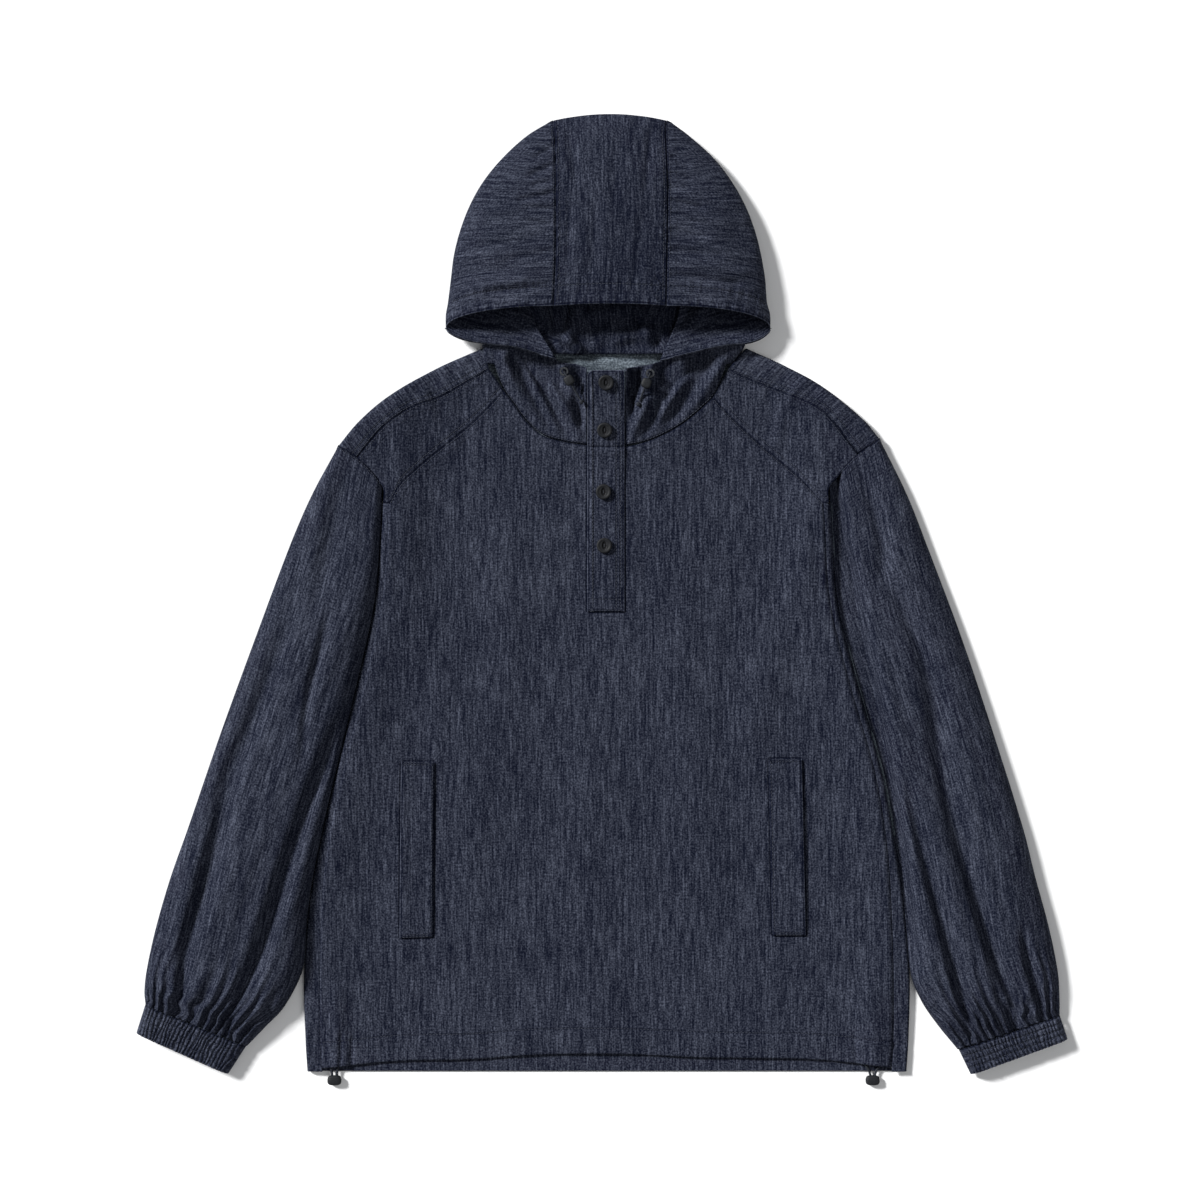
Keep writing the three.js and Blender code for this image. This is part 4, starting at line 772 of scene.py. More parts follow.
LIE = 0.8             # the cloth dips this far out from the edges that are sewn down on it
edge, foot = PLACKET_EDGE + LIE, PLACKET_FOOT - LIE
# Along these outlines the front is drawn darker, as painted shadow lines beside the casing row, the placket
# and the welts.
outlines = [hem_row, [(edge, NECK_Y), (edge, foot), (-edge, foot), (-edge, NECK_Y)]]
for welt in WELTS.values():
    x0, x1, y0, y1 = welt["x0"] - LIE, welt["x1"] - LIE, welt["y0"] + LIE, welt["y1"] - LIE
    over = WELT_WIDTH + 2 * LIE
    outlines.append([(x0, y0), (x0 + over, y0), (x1 + over, y1), (x1, y1), (x0, y0)])
front_body = cloth("front_body_cloth", front_columns, front_rows, front_surface, sewn="n", grain="plan",
                   rows=front_seams, outlines=outlines, finish=denim_front, inside=denim_inside,
                   keep=lambda x, y, z: abs(x) > STAND_HALF or y < SLIT_FOOT)
topstitching.append(hem_row)
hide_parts("front_body")

# Front yokes, flat-felled to the front body and to the back yoke's front seam. Their outer ends
# run along the sleeve heads.
SLEEVE_HEAD = dict(left=dict(outer_x=-268, outer_y=154, inner_y=113, clear=0.9),
                   right=dict(outer_x=274, outer_y=161, inner_y=113, clear=0.9))
TOUCH = 0.8          # the sleeves' inner edges press this much closer to the body
TUCK = 1.2           # and their heads run in this far at the seam
HEAD_BOW = 60
HEAD_BOW_OUT = 0.45
YOKE_COLUMNS = 7
YOKE_SEAM_Y = 97
SEAM_GAP = 0.3
UNDERARM_X = 222.5   # where the yokes end at the underarm


def head_bow(s):
    """How far the sleeve head seam bows up, from the shoulder fold, 0, to the underarm, 1."""
    return HEAD_BOW * s * s * (1 - s)


def head_seam(side, s):
    """Sleeve head seam: from the shoulder fold, 0, to the underarm, 1, bowed up to the neck."""
    head = SLEEVE_HEAD["left" if side < 0 else "right"]
    inner_x = (side_left if side < 0 else side_right)(head["inner_y"]) + side * head["clear"]
    bow = head_bow(s)
    return (head["outer_x"] + (inner_x - head["outer_x"]) * s + side * bow * HEAD_BOW_OUT,
            head["outer_y"] + (head["inner_y"] - head["outer_y"]) * s + bow)


for side_name, side in (("left", -1), ("right", 1)):
    corner = (side * (UNDERARM_X - 0.1), YOKE_SEAM_Y + SEAM_GAP)
    stretch = FRONT_TOP[YOKE_COLUMNS::-1] if side < 0 else FRONT_TOP[-YOKE_COLUMNS - 1:]
    yoke_low = through([*stretch, corner], by_index=True)
    yoke_high = through(SHOULDER[side_name]["seam"])
    sleeve_edge = through([corner, (side * (UNDERARM_X + 0.1), 112),
                           *[head_seam(side, s) for s in (0.9, 0.8, 0.7, 0.6, 0.5)]])

    def yoke_surface(u, v):
        low, high = yoke_low(u), yoke_high(u)
        straight = yoke_low(1.0) + (yoke_high(1.0) - yoke_low(1.0)) * v[..., None]
        shift = (sleeve_edge(v) - straight) * smooth(u, 0.5, 1)[..., None]
        plan = low + (high - low) * v[..., None] + shift
        return np.stack([plan[..., 0], plan[..., 1], body_top(plan[..., 0], plan[..., 1])], axis=-1)
    yoke = cloth(f"front_yoke_{side_name}_cloth", spaced(64, 0.3), spaced(26, 0.5), yoke_surface,
                 sewn="snwe", grain="plan", finish=denim_body, inside=denim_inside,
                 rows=[inset(yoke_surface, "s", 5.5, reach=0.6), inset(yoke_surface, "n", STITCH_ROW)])
    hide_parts(f"front_yoke_{side_name}")

# The back yoke. One piece over both shoulders: it lies on the floor, folds over at each
# shoulder and ends at the front yokes. Its wrong side shows inside the neck.
FOLD_START, FOLD_END = 0.35, 0.8     # the shares of a fold's rows before and up to the end of its turn
FOLD_ROWS = np.concatenate([np.linspace(0, FOLD_START, 14, endpoint=False),
                            np.linspace(FOLD_START, FOLD_END, 14, endpoint=False),
                            np.linspace(FOLD_END, 1, 4)])
SHOULDER_RUN = 14                    # a shoulder runs this far back along the floor


def fold_section(at, flange, height, floor_run):
    """A fold at an edge: along the top, round the fold, and back along the floor."""
    radius = height / 2
    turn = np.pi * (0.5 - (at - FOLD_START) / (FOLD_END - FOLD_START))
    run = np.where(at < FOLD_START, flange + (radius - flange) * at / FOLD_START,
                   np.where(at > FOLD_END, radius + (floor_run - radius) * (at - FOLD_END) / (1 - FOLD_END),
                            radius - radius * np.cos(turn)))
    z = np.where(at < FOLD_START, height, np.where(at > FOLD_END, 0, radius + radius * np.sin(turn)))
    return run, z


denim_cross = denim("denim_cross")
for side_name, side in (("left", -1), ("right", 1)):
    fold_line, seam_line = through(SHOULDER[side_name]["fold"]), through(SHOULDER[side_name]["seam"])

    def shoulder_surface(u, v):
        fold, seam = fold_line(u), seam_line(u)
        inward = (seam - fold)[..., :2]
        flange = np.linalg.norm(inward, axis=-1)
        inward = inward / flange[..., None]
        run, z = fold_section(v, flange, body_top(seam[..., 0], seam[..., 1]), SHOULDER_RUN)
        x, y = (fold[..., k] + inward[..., k] * run for k in (0, 1))
        above = smooth(z, 4, 8)
        return np.stack([x, y, z + above * 0.8 * drift(x, y, 9, 16, 12)], axis=-1)
    shoulder = cloth(f"back_yoke_{side_name}_shoulder", spaced(90, 0.3), FOLD_ROWS, shoulder_surface,
                     sewn="swe", grain="length", finish=denim_cross, inside=denim_inside,
                     rows=[inset(shoulder_surface, "s", gap, reach=0.3) for gap in (STITCH_ROW, 6)])
    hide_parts("back_yoke")

YOKE_TOP = [
    (-262, 151), (-243, 175), (-214, 200), (-166, 228), (-119.5, 247.5), (-90, 249.4), (-51, 249.6),
    (0, 249.6), (55, 249.6), (100, 249.6), (133, 248), (173, 232), (211, 211), (253, 177), (268, 158),
]
yoke_top = through(YOKE_TOP)


def back_yoke_surface(u, v):
    top = yoke_top(u)
    low = np.stack([UNDERARM_X * (2 * u - 1), 0 * u + YOKE_SEAM_Y + SEAM_GAP / 2, 0 * u], axis=-1)
    plan = low + (top - low) * v[..., None]
    for side, near in ((-1, 1 - smooth(u, 0, 0.3)), (1, smooth(u, 0.7, 1))):
        edge = np.stack([*head_seam(side, 1 - v), 0 * v], axis=-1) - np.array([side * 0.8, 0, 0])
        low_end, top_end = np.array([side * UNDERARM_X, YOKE_SEAM_Y, 0]), yoke_top(0.5 + 0.5 * side)
        straight = low_end + (top_end - low_end) * v[..., None]
        plan = plan + (edge - straight) * near[..., None] * smooth(v, 0, 0.15)[..., None]
    plan[..., 2] = CLOTH + 0.25 * (1 + drift(plan[..., 0], plan[..., 1], 40, 12, 21)) * smooth(v, 0.02, 0.2)
    return plan


back_yoke = cloth("back_yoke_cloth", spaced(90), spaced(40), back_yoke_surface, sewn="sn",
                  grain="plan_crosswise", finish=denim_inside, inside=denim_face)
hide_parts("back_yoke")

# The back body, flat under everything. It is folded up at both sides to the front's side seams,
# and FLANK is the share of its columns in each of those folds.
FLANK = 0.3
FLANK_RUN = 22
back_columns = np.concatenate([FOLD_ROWS * FLANK, np.linspace(FLANK, 1 - FLANK, 24)[1:-1],
                               1 - (FOLD_ROWS * FLANK)[::-1]])
back_rows = merged(np.linspace(0, 1, 110), 0.002 * np.arange(1, 4), 0.045 + 0.0025 * np.arange(5))


def back_surface(u, v):
    y = np.where(v <= 0, BACK_HEM_Y, BACK_HEM_Y + (YOKE_SEAM_Y - BACK_HEM_Y) * v)
    west, east, flange = side_left(y), side_right(y), side_seam(y)
    raise_ = CASING_RAISE * (1 - smooth(y - BACK_HEM_Y, CASING - 1.5, CASING + 0.5))
    seam_z_w, seam_z_e = body_top(west + flange, y) + raise_, body_top(east - flange, y) + raise_
    run_w, z_w = fold_section(np.clip(u / FLANK, 0, 1), flange, seam_z_w, FLANK_RUN)
    run_e, z_e = fold_section(np.clip((1 - u) / FLANK, 0, 1), flange, seam_z_e, FLANK_RUN)
    across = np.clip((u - FLANK) / (1 - 2 * FLANK), 0, 1)
    middle = west + FLANK_RUN + (east - west - 2 * FLANK_RUN) * across
    x = np.where(u <= FLANK, west + run_w, np.where(u >= 1 - FLANK, east - run_e, middle))
    z = np.where(u <= FLANK, z_w, np.where(u >= 1 - FLANK, z_e, 0))
    return np.stack([x, y, z], axis=-1)


back_body = cloth("back_body_cloth", back_columns, back_rows, back_surface, grain="plan",
                  finish=denim_body, inside=denim_face)
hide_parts("back_body")

# Sleeves. A flattened tube from the drop shoulder to the gathered cuff end, with long soft
# folds down it. Each row of the tables is a section across the sleeve.
SLEEVE_COLUMNS = "at outer_x outer_y inner_y clear height"
SLEEVES = {
    "left": table(SLEEVE_COLUMNS, [
        (0, -268, 154, 113, 0.9, 12.5), (1, -294, 106, 60, 0.9, 16), (2, -315, 58, 15, 0.9, 20),
        (4, -351, -38, -80, 0.9, 23), (6, -386, -134, -176, 0.9, 24), (8, -419, -230, -273, 0.9, 25),
        (9, -436, -278, -322, 0.9, 26), (10, -450, -326, -368, 1.5, 26), (11, -459, -366, -405, 19, 25),
        (12, -462, -390, -428, 41, 22), (13, -461, -404.5, -446, 59, 16),
    ]),
    "right": table(SLEEVE_COLUMNS, [
        (0, 274, 161, 113, 0.9, 12.5), (1, 301, 106, 60, 0.9, 16), (2, 320, 58, 15, 0.9, 20),
        (4, 356, -38, -80, 0.9, 23), (6, 388, -134, -176, 0.9, 24), (8, 418, -230, -273, 0.9, 25),
        (9, 430, -278, -322, 0.9, 26), (10, 443, -326, -372, 1.5, 26), (11, 452, -370, -400, 11.5, 25),
        (12, 454, -398, -425, 29, 22), (13, 454, -415, -449.5, 50, 16),
    ]),
}
FOLD_COLUMNS = "y x share width"
FOLDS = {
    "left": [
        [(60, -300, 0, 14), (-6, -314, 0.2, 14), (-62, -332, 0.38, 14), (-127, -355, 0.45, 14),
         (-178, -376, 0.48, 14), (-238, -388, 0.5, 13), (-294, -402, 0.5, 12), (-341, -416, 0.45, 10),
         (-395, -425, 0.35, 7)],
        [(-110, -264, 0, 9), (-150, -276, 0.3, 10), (-188, -290, 0.45, 11), (-215, -300, 0.45, 11),
         (-262, -316, 0.48, 12), (-299, -327, 0.5, 12), (-341, -341, 0.5, 11), (-378, -356, 0.45, 9),
         (-415, -376, 0.35, 7)],
        [(150, -252, 0, 12), (100, -267, 0.2, 12), (55, -276, 0.22, 12), (-20, -294, 0, 12)],
        [(0, -274, 0, 6), (-50, -285, 0.22, 6), (-104, -297, 0.22, 6), (-170, -304, 0, 6)],
    ],
    "right": [
        [(30, 280, 0, 9), (-20, 302, 0.3, 11), (-53, 316, 0.4, 12), (-100, 328, 0.42, 13),
         (-150, 334, 0.42, 13), (-240, 353, 0.45, 12), (-330, 380, 0.48, 10), (-370, 393, 0.45, 8),
         (-410, 410, 0.35, 6)],
        [(-165, 297, 0, 8), (-210, 307, 0.35, 9), (-280, 325, 0.45, 9), (-331, 339, 0.45, 9),
         (-378, 351, 0.45, 8), (-425, 362, 0.35, 6)],
        [(-320, 414, 0, 6), (-360, 421, 0.35, 6), (-408, 433, 0.35, 6), (-425, 434, 0.35, 6)],
        [(150, 246, 0, 9), (100, 265, 0.28, 9), (50, 277, 0.3, 9), (10, 276, 0, 9)],
        [(118, 229, 1.2, 6), (78, 231.5, 1.6, 8.5), (35, 237.5, 1.8, 11), (-10, 244, 1.8, 12),
         (-54, 253, 1.8, 12), (-90, 261.5, 1.7, 11), (-147, 274, 1.4, 9), (-243, 292, 1.1, 7),
         (-325, 303, 0.8, 6), (-380, 311, 0, 6)],
    ],
}
SILHOUETTE_HEIGHT = 5     # the widest part of the tube lies this high
LAST_ROW = 13
GATHERS = 11
TOP_SHARE = 0.84          # of the points round the tube, on its upper side
EDGE_ROLL = 14            # folds, creases and gathers fade out over this at both edges
FOLD_DEPTH = 1.2          # of the height over the widest part, where a fold's share is 1
FOLD_SPREAD = 0.85        # of a fold's width in the table
GATHER_DEPTH = 0.42
GATHER_FINE = 0.2
CREASE_LONG = dict(rise=1.0, across=17, along=170)
CREASE_SHORT = dict(rise=0.55, across=7.5, along=90)
FOLD_FLOOR = 2.0          # a fold sinks at most this far under the widest part


def sleeve_surface(side_name):
    """Round the tube from its outer edge, over the top and back below, and down from the head."""
    side = -1 if side_name == "left" else 1
    read = [column(SLEEVES[side_name], "at", name) for name in SLEEVE_COLUMNS.split()[1:]]
    folds = [[column(table(FOLD_COLUMNS, fold), "y", name) for name in ("x", "share", "width")]
             for fold in FOLDS[side_name]]
    body_side = side_left if side < 0 else side_right

    def surface(u, v):
        row = LAST_ROW * v
        outer_x, outer_y, inner_y, clear, height = (value(row) for value in read)
        inner_x = body_side(inner_y) + side * (clear - TOUCH)
        on_top = u <= TOP_SHARE
        q = np.where(on_top, u / TOP_SHARE, (1 - u) / (1 - TOP_SHARE))
        s = np.where(on_top, 0.45 * q + 0.55 * (0.5 - 0.5 * np.cos(np.pi * q)), q)
        bow = head_bow(s) * (1 - smooth(row, 0, 1.6))
        x = outer_x + (inner_x - outer_x) * s + side * bow * HEAD_BOW_OUT
        y = outer_y + (inner_y - outer_y) * s + bow + TUCK * (1 - smooth(row, 0, 0.1))
        width = np.hypot(outer_x - inner_x, outer_y - inner_y)
        narrow = np.where(row > 12, 1 - 0.5 * (row - 12), 1)
        outer_radius = (9 + 35 * smooth(row, 0, 3)) * narrow
        inner_radius = (7 + 23 * smooth(row, 0, 4)) * narrow
        rise = quarter(s * width, outer_radius) * quarter((1 - s) * width, inner_radius)
        edge = quarter(s * width, EDGE_ROLL) * quarter((1 - s) * width, EDGE_ROLL)
        fade = smooth(row, 9.6, 13)
        across = GATHERS * s + 0.45 * np.sin(9 * s) + 0.3 * drift(s * 6, row * 2, 1, 1, 31)
        wave = 0.5 - 0.5 * np.cos(2 * np.pi * across)
        fine = 0.5 - 0.5 * np.cos(2 * np.pi * (2.3 * across + 0.2))
        gather = (GATHER_DEPTH * fade * wave + GATHER_FINE * smooth(row, 11.2, 13) * fine) * edge
        kept = 1 - gather
        for fold_x, fold_share, fold_width in folds:
            depth = FOLD_DEPTH * fold_share(y)
            kept = kept * (1 - depth * bump(x - fold_x(y), FOLD_SPREAD * fold_width(y)))
        down_it = row * 40
        lean = s * width + (0.05 if side < 0 else -0.03) * down_it
        crease = sum(kind["rise"] * drift(lean, down_it, kind["across"], kind["along"], seed)
                     for kind, seed in ((CREASE_LONG, 33), (CREASE_SHORT, 34)))
        top_z = SILHOUETTE_HEIGHT + (height - SILHOUETTE_HEIGHT) * rise * kept
        top_z = top_z + crease * edge * smooth(row, 0.3, 2) * (1 - 0.5 * smooth(row, 11, 13))
        roll = quarter(np.minimum(s, 1 - s) * width, 6)
        floor_z = SILHOUETTE_HEIGHT * (1 - roll)
        lowest = SILHOUETTE_HEIGHT - FOLD_FLOOR * roll
        return np.stack([x, y, np.where(on_top, np.maximum(top_z, lowest), floor_z)], axis=-1)
    return surface


denim_sleeve = denim("denim_sleeve", pucker=0.9)
below = TOP_SHARE + (1 - TOP_SHARE) * np.array([0.03, 0.08, 0.15, 0.3, 0.5, 0.7, 0.85, 0.92, 0.97, 1])
around = np.concatenate([np.linspace(0, TOP_SHARE, 126), below])
down = merged(np.linspace(0, 1, 150), np.linspace(0.85, 1, 30), 0.004 * np.arange(1, 4))
for side_name in ("left", "right"):
    surface = sleeve_surface(side_name)
    head_row = inset(surface, "s", STITCH_ROW, 0.01, TOP_SHARE)
    sleeve = cloth(f"sleeve_{side_name}_cloth", around, down, surface, sewn="s", tube=True,
                   rows=[head_row], finish=denim_sleeve, inside=denim_inside)
    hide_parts(f"sleeve_{side_name}")

# Elastic cuffs: each a short tube shirred over elastic, with rows of stitching across its
# gathers. The corners are outer top, outer foot, inner top and inner foot.
CUFFS = {
    "left": [(-461, -404.6), (-470, -433), (-360, -446.1), (-378, -474)],
    "right": [(454, -415.1), (462, -439), (353, -449.6), (365, -474.5)],
}
CUFF_RIBS = 27
CUFF_RIB_DEPTH = 1.7
CUFF_HEIGHT = 15
CUFF_LENGTH = 33
CUFF_TOP_SHARE = 0.9
CUFF_ROLL = 13
SHIRRING_WIDTH = 0.035
SHIRRING = (0.04, 0.27, 0.5, 0.73, 0.96)
denim_cuff = denim("denim_cuff", allowance=0.1, pucker=0.2, tone=0.57)


def cuff_surface(corners, seed):
    outer_top, outer_foot, inner_top, inner_foot = (np.array([*corner, 0.0]) for corner in corners)

    def surface(u, v):
        on_top = u <= CUFF_TOP_SHARE
        s = np.where(on_top, u / CUFF_TOP_SHARE, (1 - u) / (1 - CUFF_TOP_SHARE))[..., None]
        a = outer_foot + (outer_top - outer_foot) * v[..., None]
        b = inner_foot + (inner_top - inner_foot) * v[..., None]
        width = np.linalg.norm(a - b, axis=-1)
        point = a + (b - a) * s
        s = s[..., 0]
        rise = quarter(s * width, CUFF_ROLL) * quarter((1 - s) * width, CUFF_ROLL)
        sway = 0.5 * drift(s * 14, v * 1.6, 1, 1, seed) + 0.22 * drift(s * 40, v * 4, 1, 1, seed + 1)
        rib = (0.5 - 0.5 * np.cos(2 * np.pi * (CUFF_RIBS * s + sway))) ** 0.8
        rib = rib * (0.75 + 0.25 * drift(s * 30, v * 3, 1, 1, seed + 2))
        rows = sum(bump(v - at, SHIRRING_WIDTH) for at in SHIRRING)
        edge = 1 - quarter(np.minimum(v, 1 - v) * CUFF_LENGTH, 1.6)
        plain = SILHOUETTE_HEIGHT + (CUFF_HEIGHT - CUFF_RIB_DEPTH - SILHOUETTE_HEIGHT) * rise
        z = plain + CUFF_RIB_DEPTH * 1.35 * rib * np.minimum(1, rise * 1.3) * (1 - 0.35 * rows)
        point[..., 2] = np.where(on_top, z - 0.5 * rows - 0.6 * edge, 0.0)
        return point
    return surface


around = np.concatenate([np.linspace(0, CUFF_TOP_SHARE, 270), [0.905, 0.92, 0.95, 0.98, 0.995, 1]])
row_across = np.linspace(0.01, CUFF_TOP_SHARE - 0.01, 260)
for side_name, corners in CUFFS.items():
    surface = cuff_surface(corners, seed=50 if side_name == "left" else 60)
    shirring = [surface(row_across, np.full(len(row_across), at)) for at in SHIRRING[1:-1]]
    cuff = cloth(f"cuff_{side_name}_cloth", around, spaced(34, 0.2), surface, sewn="n", tube=True,
                 rows=shirring, finish=denim_cuff, inside=denim_inside)
    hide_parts(f"cuff_{side_name}")

# The hood. Two side panels and a crown strip between them, self-lined, with a hemmed brim.
# Each side panel runs from the crown seam over the outer fold and back along the floor.
HOOD_CLOTH = 1.6
BRIM_HEM = 20
HOOD_BEND = 0.5       # the outer fold is at this share across a side panel
HOOD_CREASE = 1.7     # millimetres for a rise of 1 in the tables of creases and of lumps
SIDE_LUMP = 5.5
INNER_LUMP = 1.6
BRIM_ROLL, BRIM_ROLL_WIDTH = 0.8, 1.8
BRIM_LENGTH = 190
HOOD = {
    "left": dict(
        fold=[(-160, 271, 13), (-160, 284, 12), (-158, 296, 12), (-155, 320, 12), (-152, 344, 12),
              (-146, 368, 12), (-137, 392, 12), (-124, 416, 11), (-105, 440, 10), (-79, 464, 9),
              (-58, 477, 8)],
        crown=[(-52, 291, 40), (-50, 340, 37), (-50, 400, 30), (-51, 440, 24), (-52, 470, 17),
               (-53, 479, 12)],
        under=[(-51, 250, 9), (-62, 264, 3), (-75, 285, 0), (-74, 340, 0), (-66, 400, 0), (-56, 450, 0),
               (-53, 474, 3)],
        lip=[(-160, 271, 13), (-158, 267, 14), (-146, 260, 17), (-123, 255, 20), (-91, 251, 21),
             (-66, 244, 20.5), (-50, 239.5, 19.5)]),
    "right": dict(
        fold=[(164, 271, 13), (164, 284, 12), (161, 296, 12), (159, 320, 12), (155, 344, 12),
              (149, 368, 12), (140, 392, 12), (127, 416, 11), (109, 440, 10), (83, 464, 9), (66, 477, 8)],
        crown=[(60, 291, 41), (61, 340, 37), (62, 400, 30), (61, 440, 24), (60, 470, 17), (61, 479, 12)],
        under=[(56, 250, 9), (64, 264, 3), (72, 285, 0), (74, 340, 0), (72, 400, 0), (66, 450, 0),
               (61, 474, 3)],
        lip=[(164, 271, 13), (164, 268, 14), (155, 260, 17), (141, 255, 20), (120, 253, 21),
             (88, 246, 22), (54, 237.5, 21)]),
}
hood = {side: {edge: through(points) for edge, points in edges.items()} for side, edges in HOOD.items()}
HOOD_RIDGES = table("x0 y0 x1 y1 rise width", [
    (-120, 300, -118, 400, 1.8, 12), (118, 300, 112, 410, 2.2, 14),
])
# Short creases across the side panels beside the crown seams, and soft ones towards the brim.
HOOD_CREASES = table("x0 y0 x1 y1 rise width", [
    (-56, 403, -84, 398, -1.9, 3), (-56, 388, -78, 390, -1.4, 2.6), (-58, 430, -72, 424, -1.6, 3),
    (-56, 416, -70, 413, -1.2, 2.4), (-56, 372, -74, 376, -1.1, 2.4), (-57, 448, -68, 442, -1.2, 2.6),
    (-56, 345, -96, 338, -1.2, 4), (-60, 312, -112, 306, -1.3, 4), (-90, 330, -140, 324, -1.1, 5),
    (-70, 360, -120, 352, -0.9, 5), (-84, 318, -132, 310, 1.0, 5), (66, 396, 92, 390, -2.0, 3),
    (66, 384, 88, 374, -1.5, 3.2), (66, 424, 82, 418, -1.4, 2.6), (66, 410, 80, 408, -1.2, 2.4),
    (68, 440, 80, 432, -1.2, 2.6), (68, 366, 96, 360, -1.2, 3), (68, 346, 110, 342, -1.3, 4),
    (68, 322, 128, 314, -1.5, 4), (100, 372, 140, 352, -1.2, 6), (84, 334, 136, 326, 1.0, 5),
    (-30, 420, -36, 460, -1.1, 4), (40, 410, 44, 462, -1.2, 4), (-14, 330, -10, 392, -0.9, 6),
    (30, 318, 34, 372, -0.8, 5), (8, 400, 12, 456, -0.7, 6), (-38, 340, -36, 388, -0.8, 4),
])
# Where the lining side rumples on the floor inside the face opening, on the crown and the sides.
INNER_LUMPS = table("x0 y0 x1 y1 rise width", [
    (-45, 264, -28, 252, 5.5, 4), (-52, 292, -46, 262, -4, 5), (-30, 290, -38, 262, 4, 4.5),
    (12, 262, 44, 268, 3.5, 6), (-12, 286, 16, 292, 2.4, 7), (30, 290, 42, 262, 4.5, 5),
    (-8, 258, 6, 276, 2.2, 5),
])
SIDE_LUMPS = table("x0 y0 x1 y1 rise width", [
    (-118, 270, -74, 262, 1, 9), (-96, 290, -74, 276, 1.2, 6), (112, 270, 76, 262, 0.9, 9),
    (96, 292, 78, 274, 1.0, 6), (-70, 300, -57, 252, 2.1, 6), (74, 300, 61, 250, 1.4, 6),
    (-126, 282, -100, 276, -0.8, 5), (130, 284, 104, 276, -0.8, 5),
])


def hood_surface(side_name):
    """Across from the crown seam, over the outer fold and under, and up from the brim."""
    edges = hood[side_name]

    def surface(u, v):
        edge, seam, under = (edges[name](v) for name in ("fold", "crown", "under"))
        q = np.clip(1 - u / HOOD_BEND, 0, 1)
        a, rise = 1 - np.cos(q * np.pi / 2), np.sin(q * np.pi / 2)
        blend = a + (rise - a) * (1 - v) ** 2
        y = edge[..., 1] + (seam[..., 1] - edge[..., 1]) * blend
        x = edge[..., 0] + (seam[..., 0] - edge[..., 0]) * a
        over = ridges(x, y, HOOD_RIDGES) * rise * a
        over = over + (HOOD_CREASE * ridges(x, y, HOOD_CREASES) + 0.8 * drift(x, y, 26, 9, 71)
                       + 0.35 * drift(x, y, 60, 22, 72)) * smooth(rise, 0.1, 0.5)
        over = over - BRIM_ROLL * (1 - quarter(v * BRIM_LENGTH, BRIM_ROLL_WIDTH))
        top = np.stack([x, y, edge[..., 2] + (seam[..., 2] - edge[..., 2]) * rise + over], axis=-1)
        q = np.clip((u - HOOD_BEND) / (1 - HOOD_BEND), 0, 1)
        a = 0.5 * q + 0.5 * (1 - np.cos(q * np.pi / 2))
        width = np.abs(under[..., 0] - edge[..., 0])
        drop = quarter(a * width, np.minimum(14, width * 0.7))
        low = edge + (under - edge) * a[..., None]
        z = edge[..., 2] * (1 - drop) + under[..., 2] * smooth(a, 0.6, 1) * np.where(v > 0.8, 1, 0.4)
        lump = SIDE_LUMP * ridges(low[..., 0], low[..., 1], SIDE_LUMPS) * smooth(a, 0.3, 0.6)
        low[..., 2] = np.maximum(0, z) + lump * (1 - smooth(v, 0.3, 0.5))
        lifted = (1 - smooth(v, 0, 0.2))[..., None]
        low = low + (edges["lip"](a) - low) * lifted
        return np.where((u <= HOOD_BEND)[..., None], top, low)
    return surface


hood_rows = merged(np.linspace(0, 1, 110), np.linspace(0.085, 0.125, 22), 0.004 * np.arange(1, 8),
                   np.linspace(0, 0.2, 26))
denim_hood = denim("denim_hood", pucker=1.6, wear_and_highlight=0.4, tone=0.48)
for side_name in ("left", "right"):
    surface = hood_surface(side_name)
    panel = cloth(f"hood_side_{side_name}_cloth", spaced(100), hood_rows, surface,
                  sewn="wn", folded="s", thickness=HOOD_CLOTH, grain="crosswise", finish=denim_hood,
                  rows=[inset(surface, "s", BRIM_HEM, 0.01, 0.42, 0.2), inset(surface, "w", 2, 0.02, 0.98)])
    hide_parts(f"hood_side_{side_name}")

# The crown strip, from the brim over the top of the hood, round the back fold and down inside to
# the nape. Its edges follow the side panels.
TURN_AT, TURN_END = 0.478, 0.53      # the back fold's rows, as shares of the strip
MIDDLE_TURN = 0.452, 0.492           # and as shares of its middle line
NAPE_LAP = 4                         # the lining side laps this far over the back yoke at the nape
crown_middle = through([(3, 293, 43), (4, 340, 41), (4, 400, 35), (4, 440, 28.5), (4, 470, 20), (4, 484, 12),
                        (4, 486, 8), (4, 483, 2.5), (4, 474, 0), (4, 440, 0), (4, 400, 0), (4, 340, 0),
                        (4, 290, 0), (4, 264, 2.5), (4, 250, 1.7)])


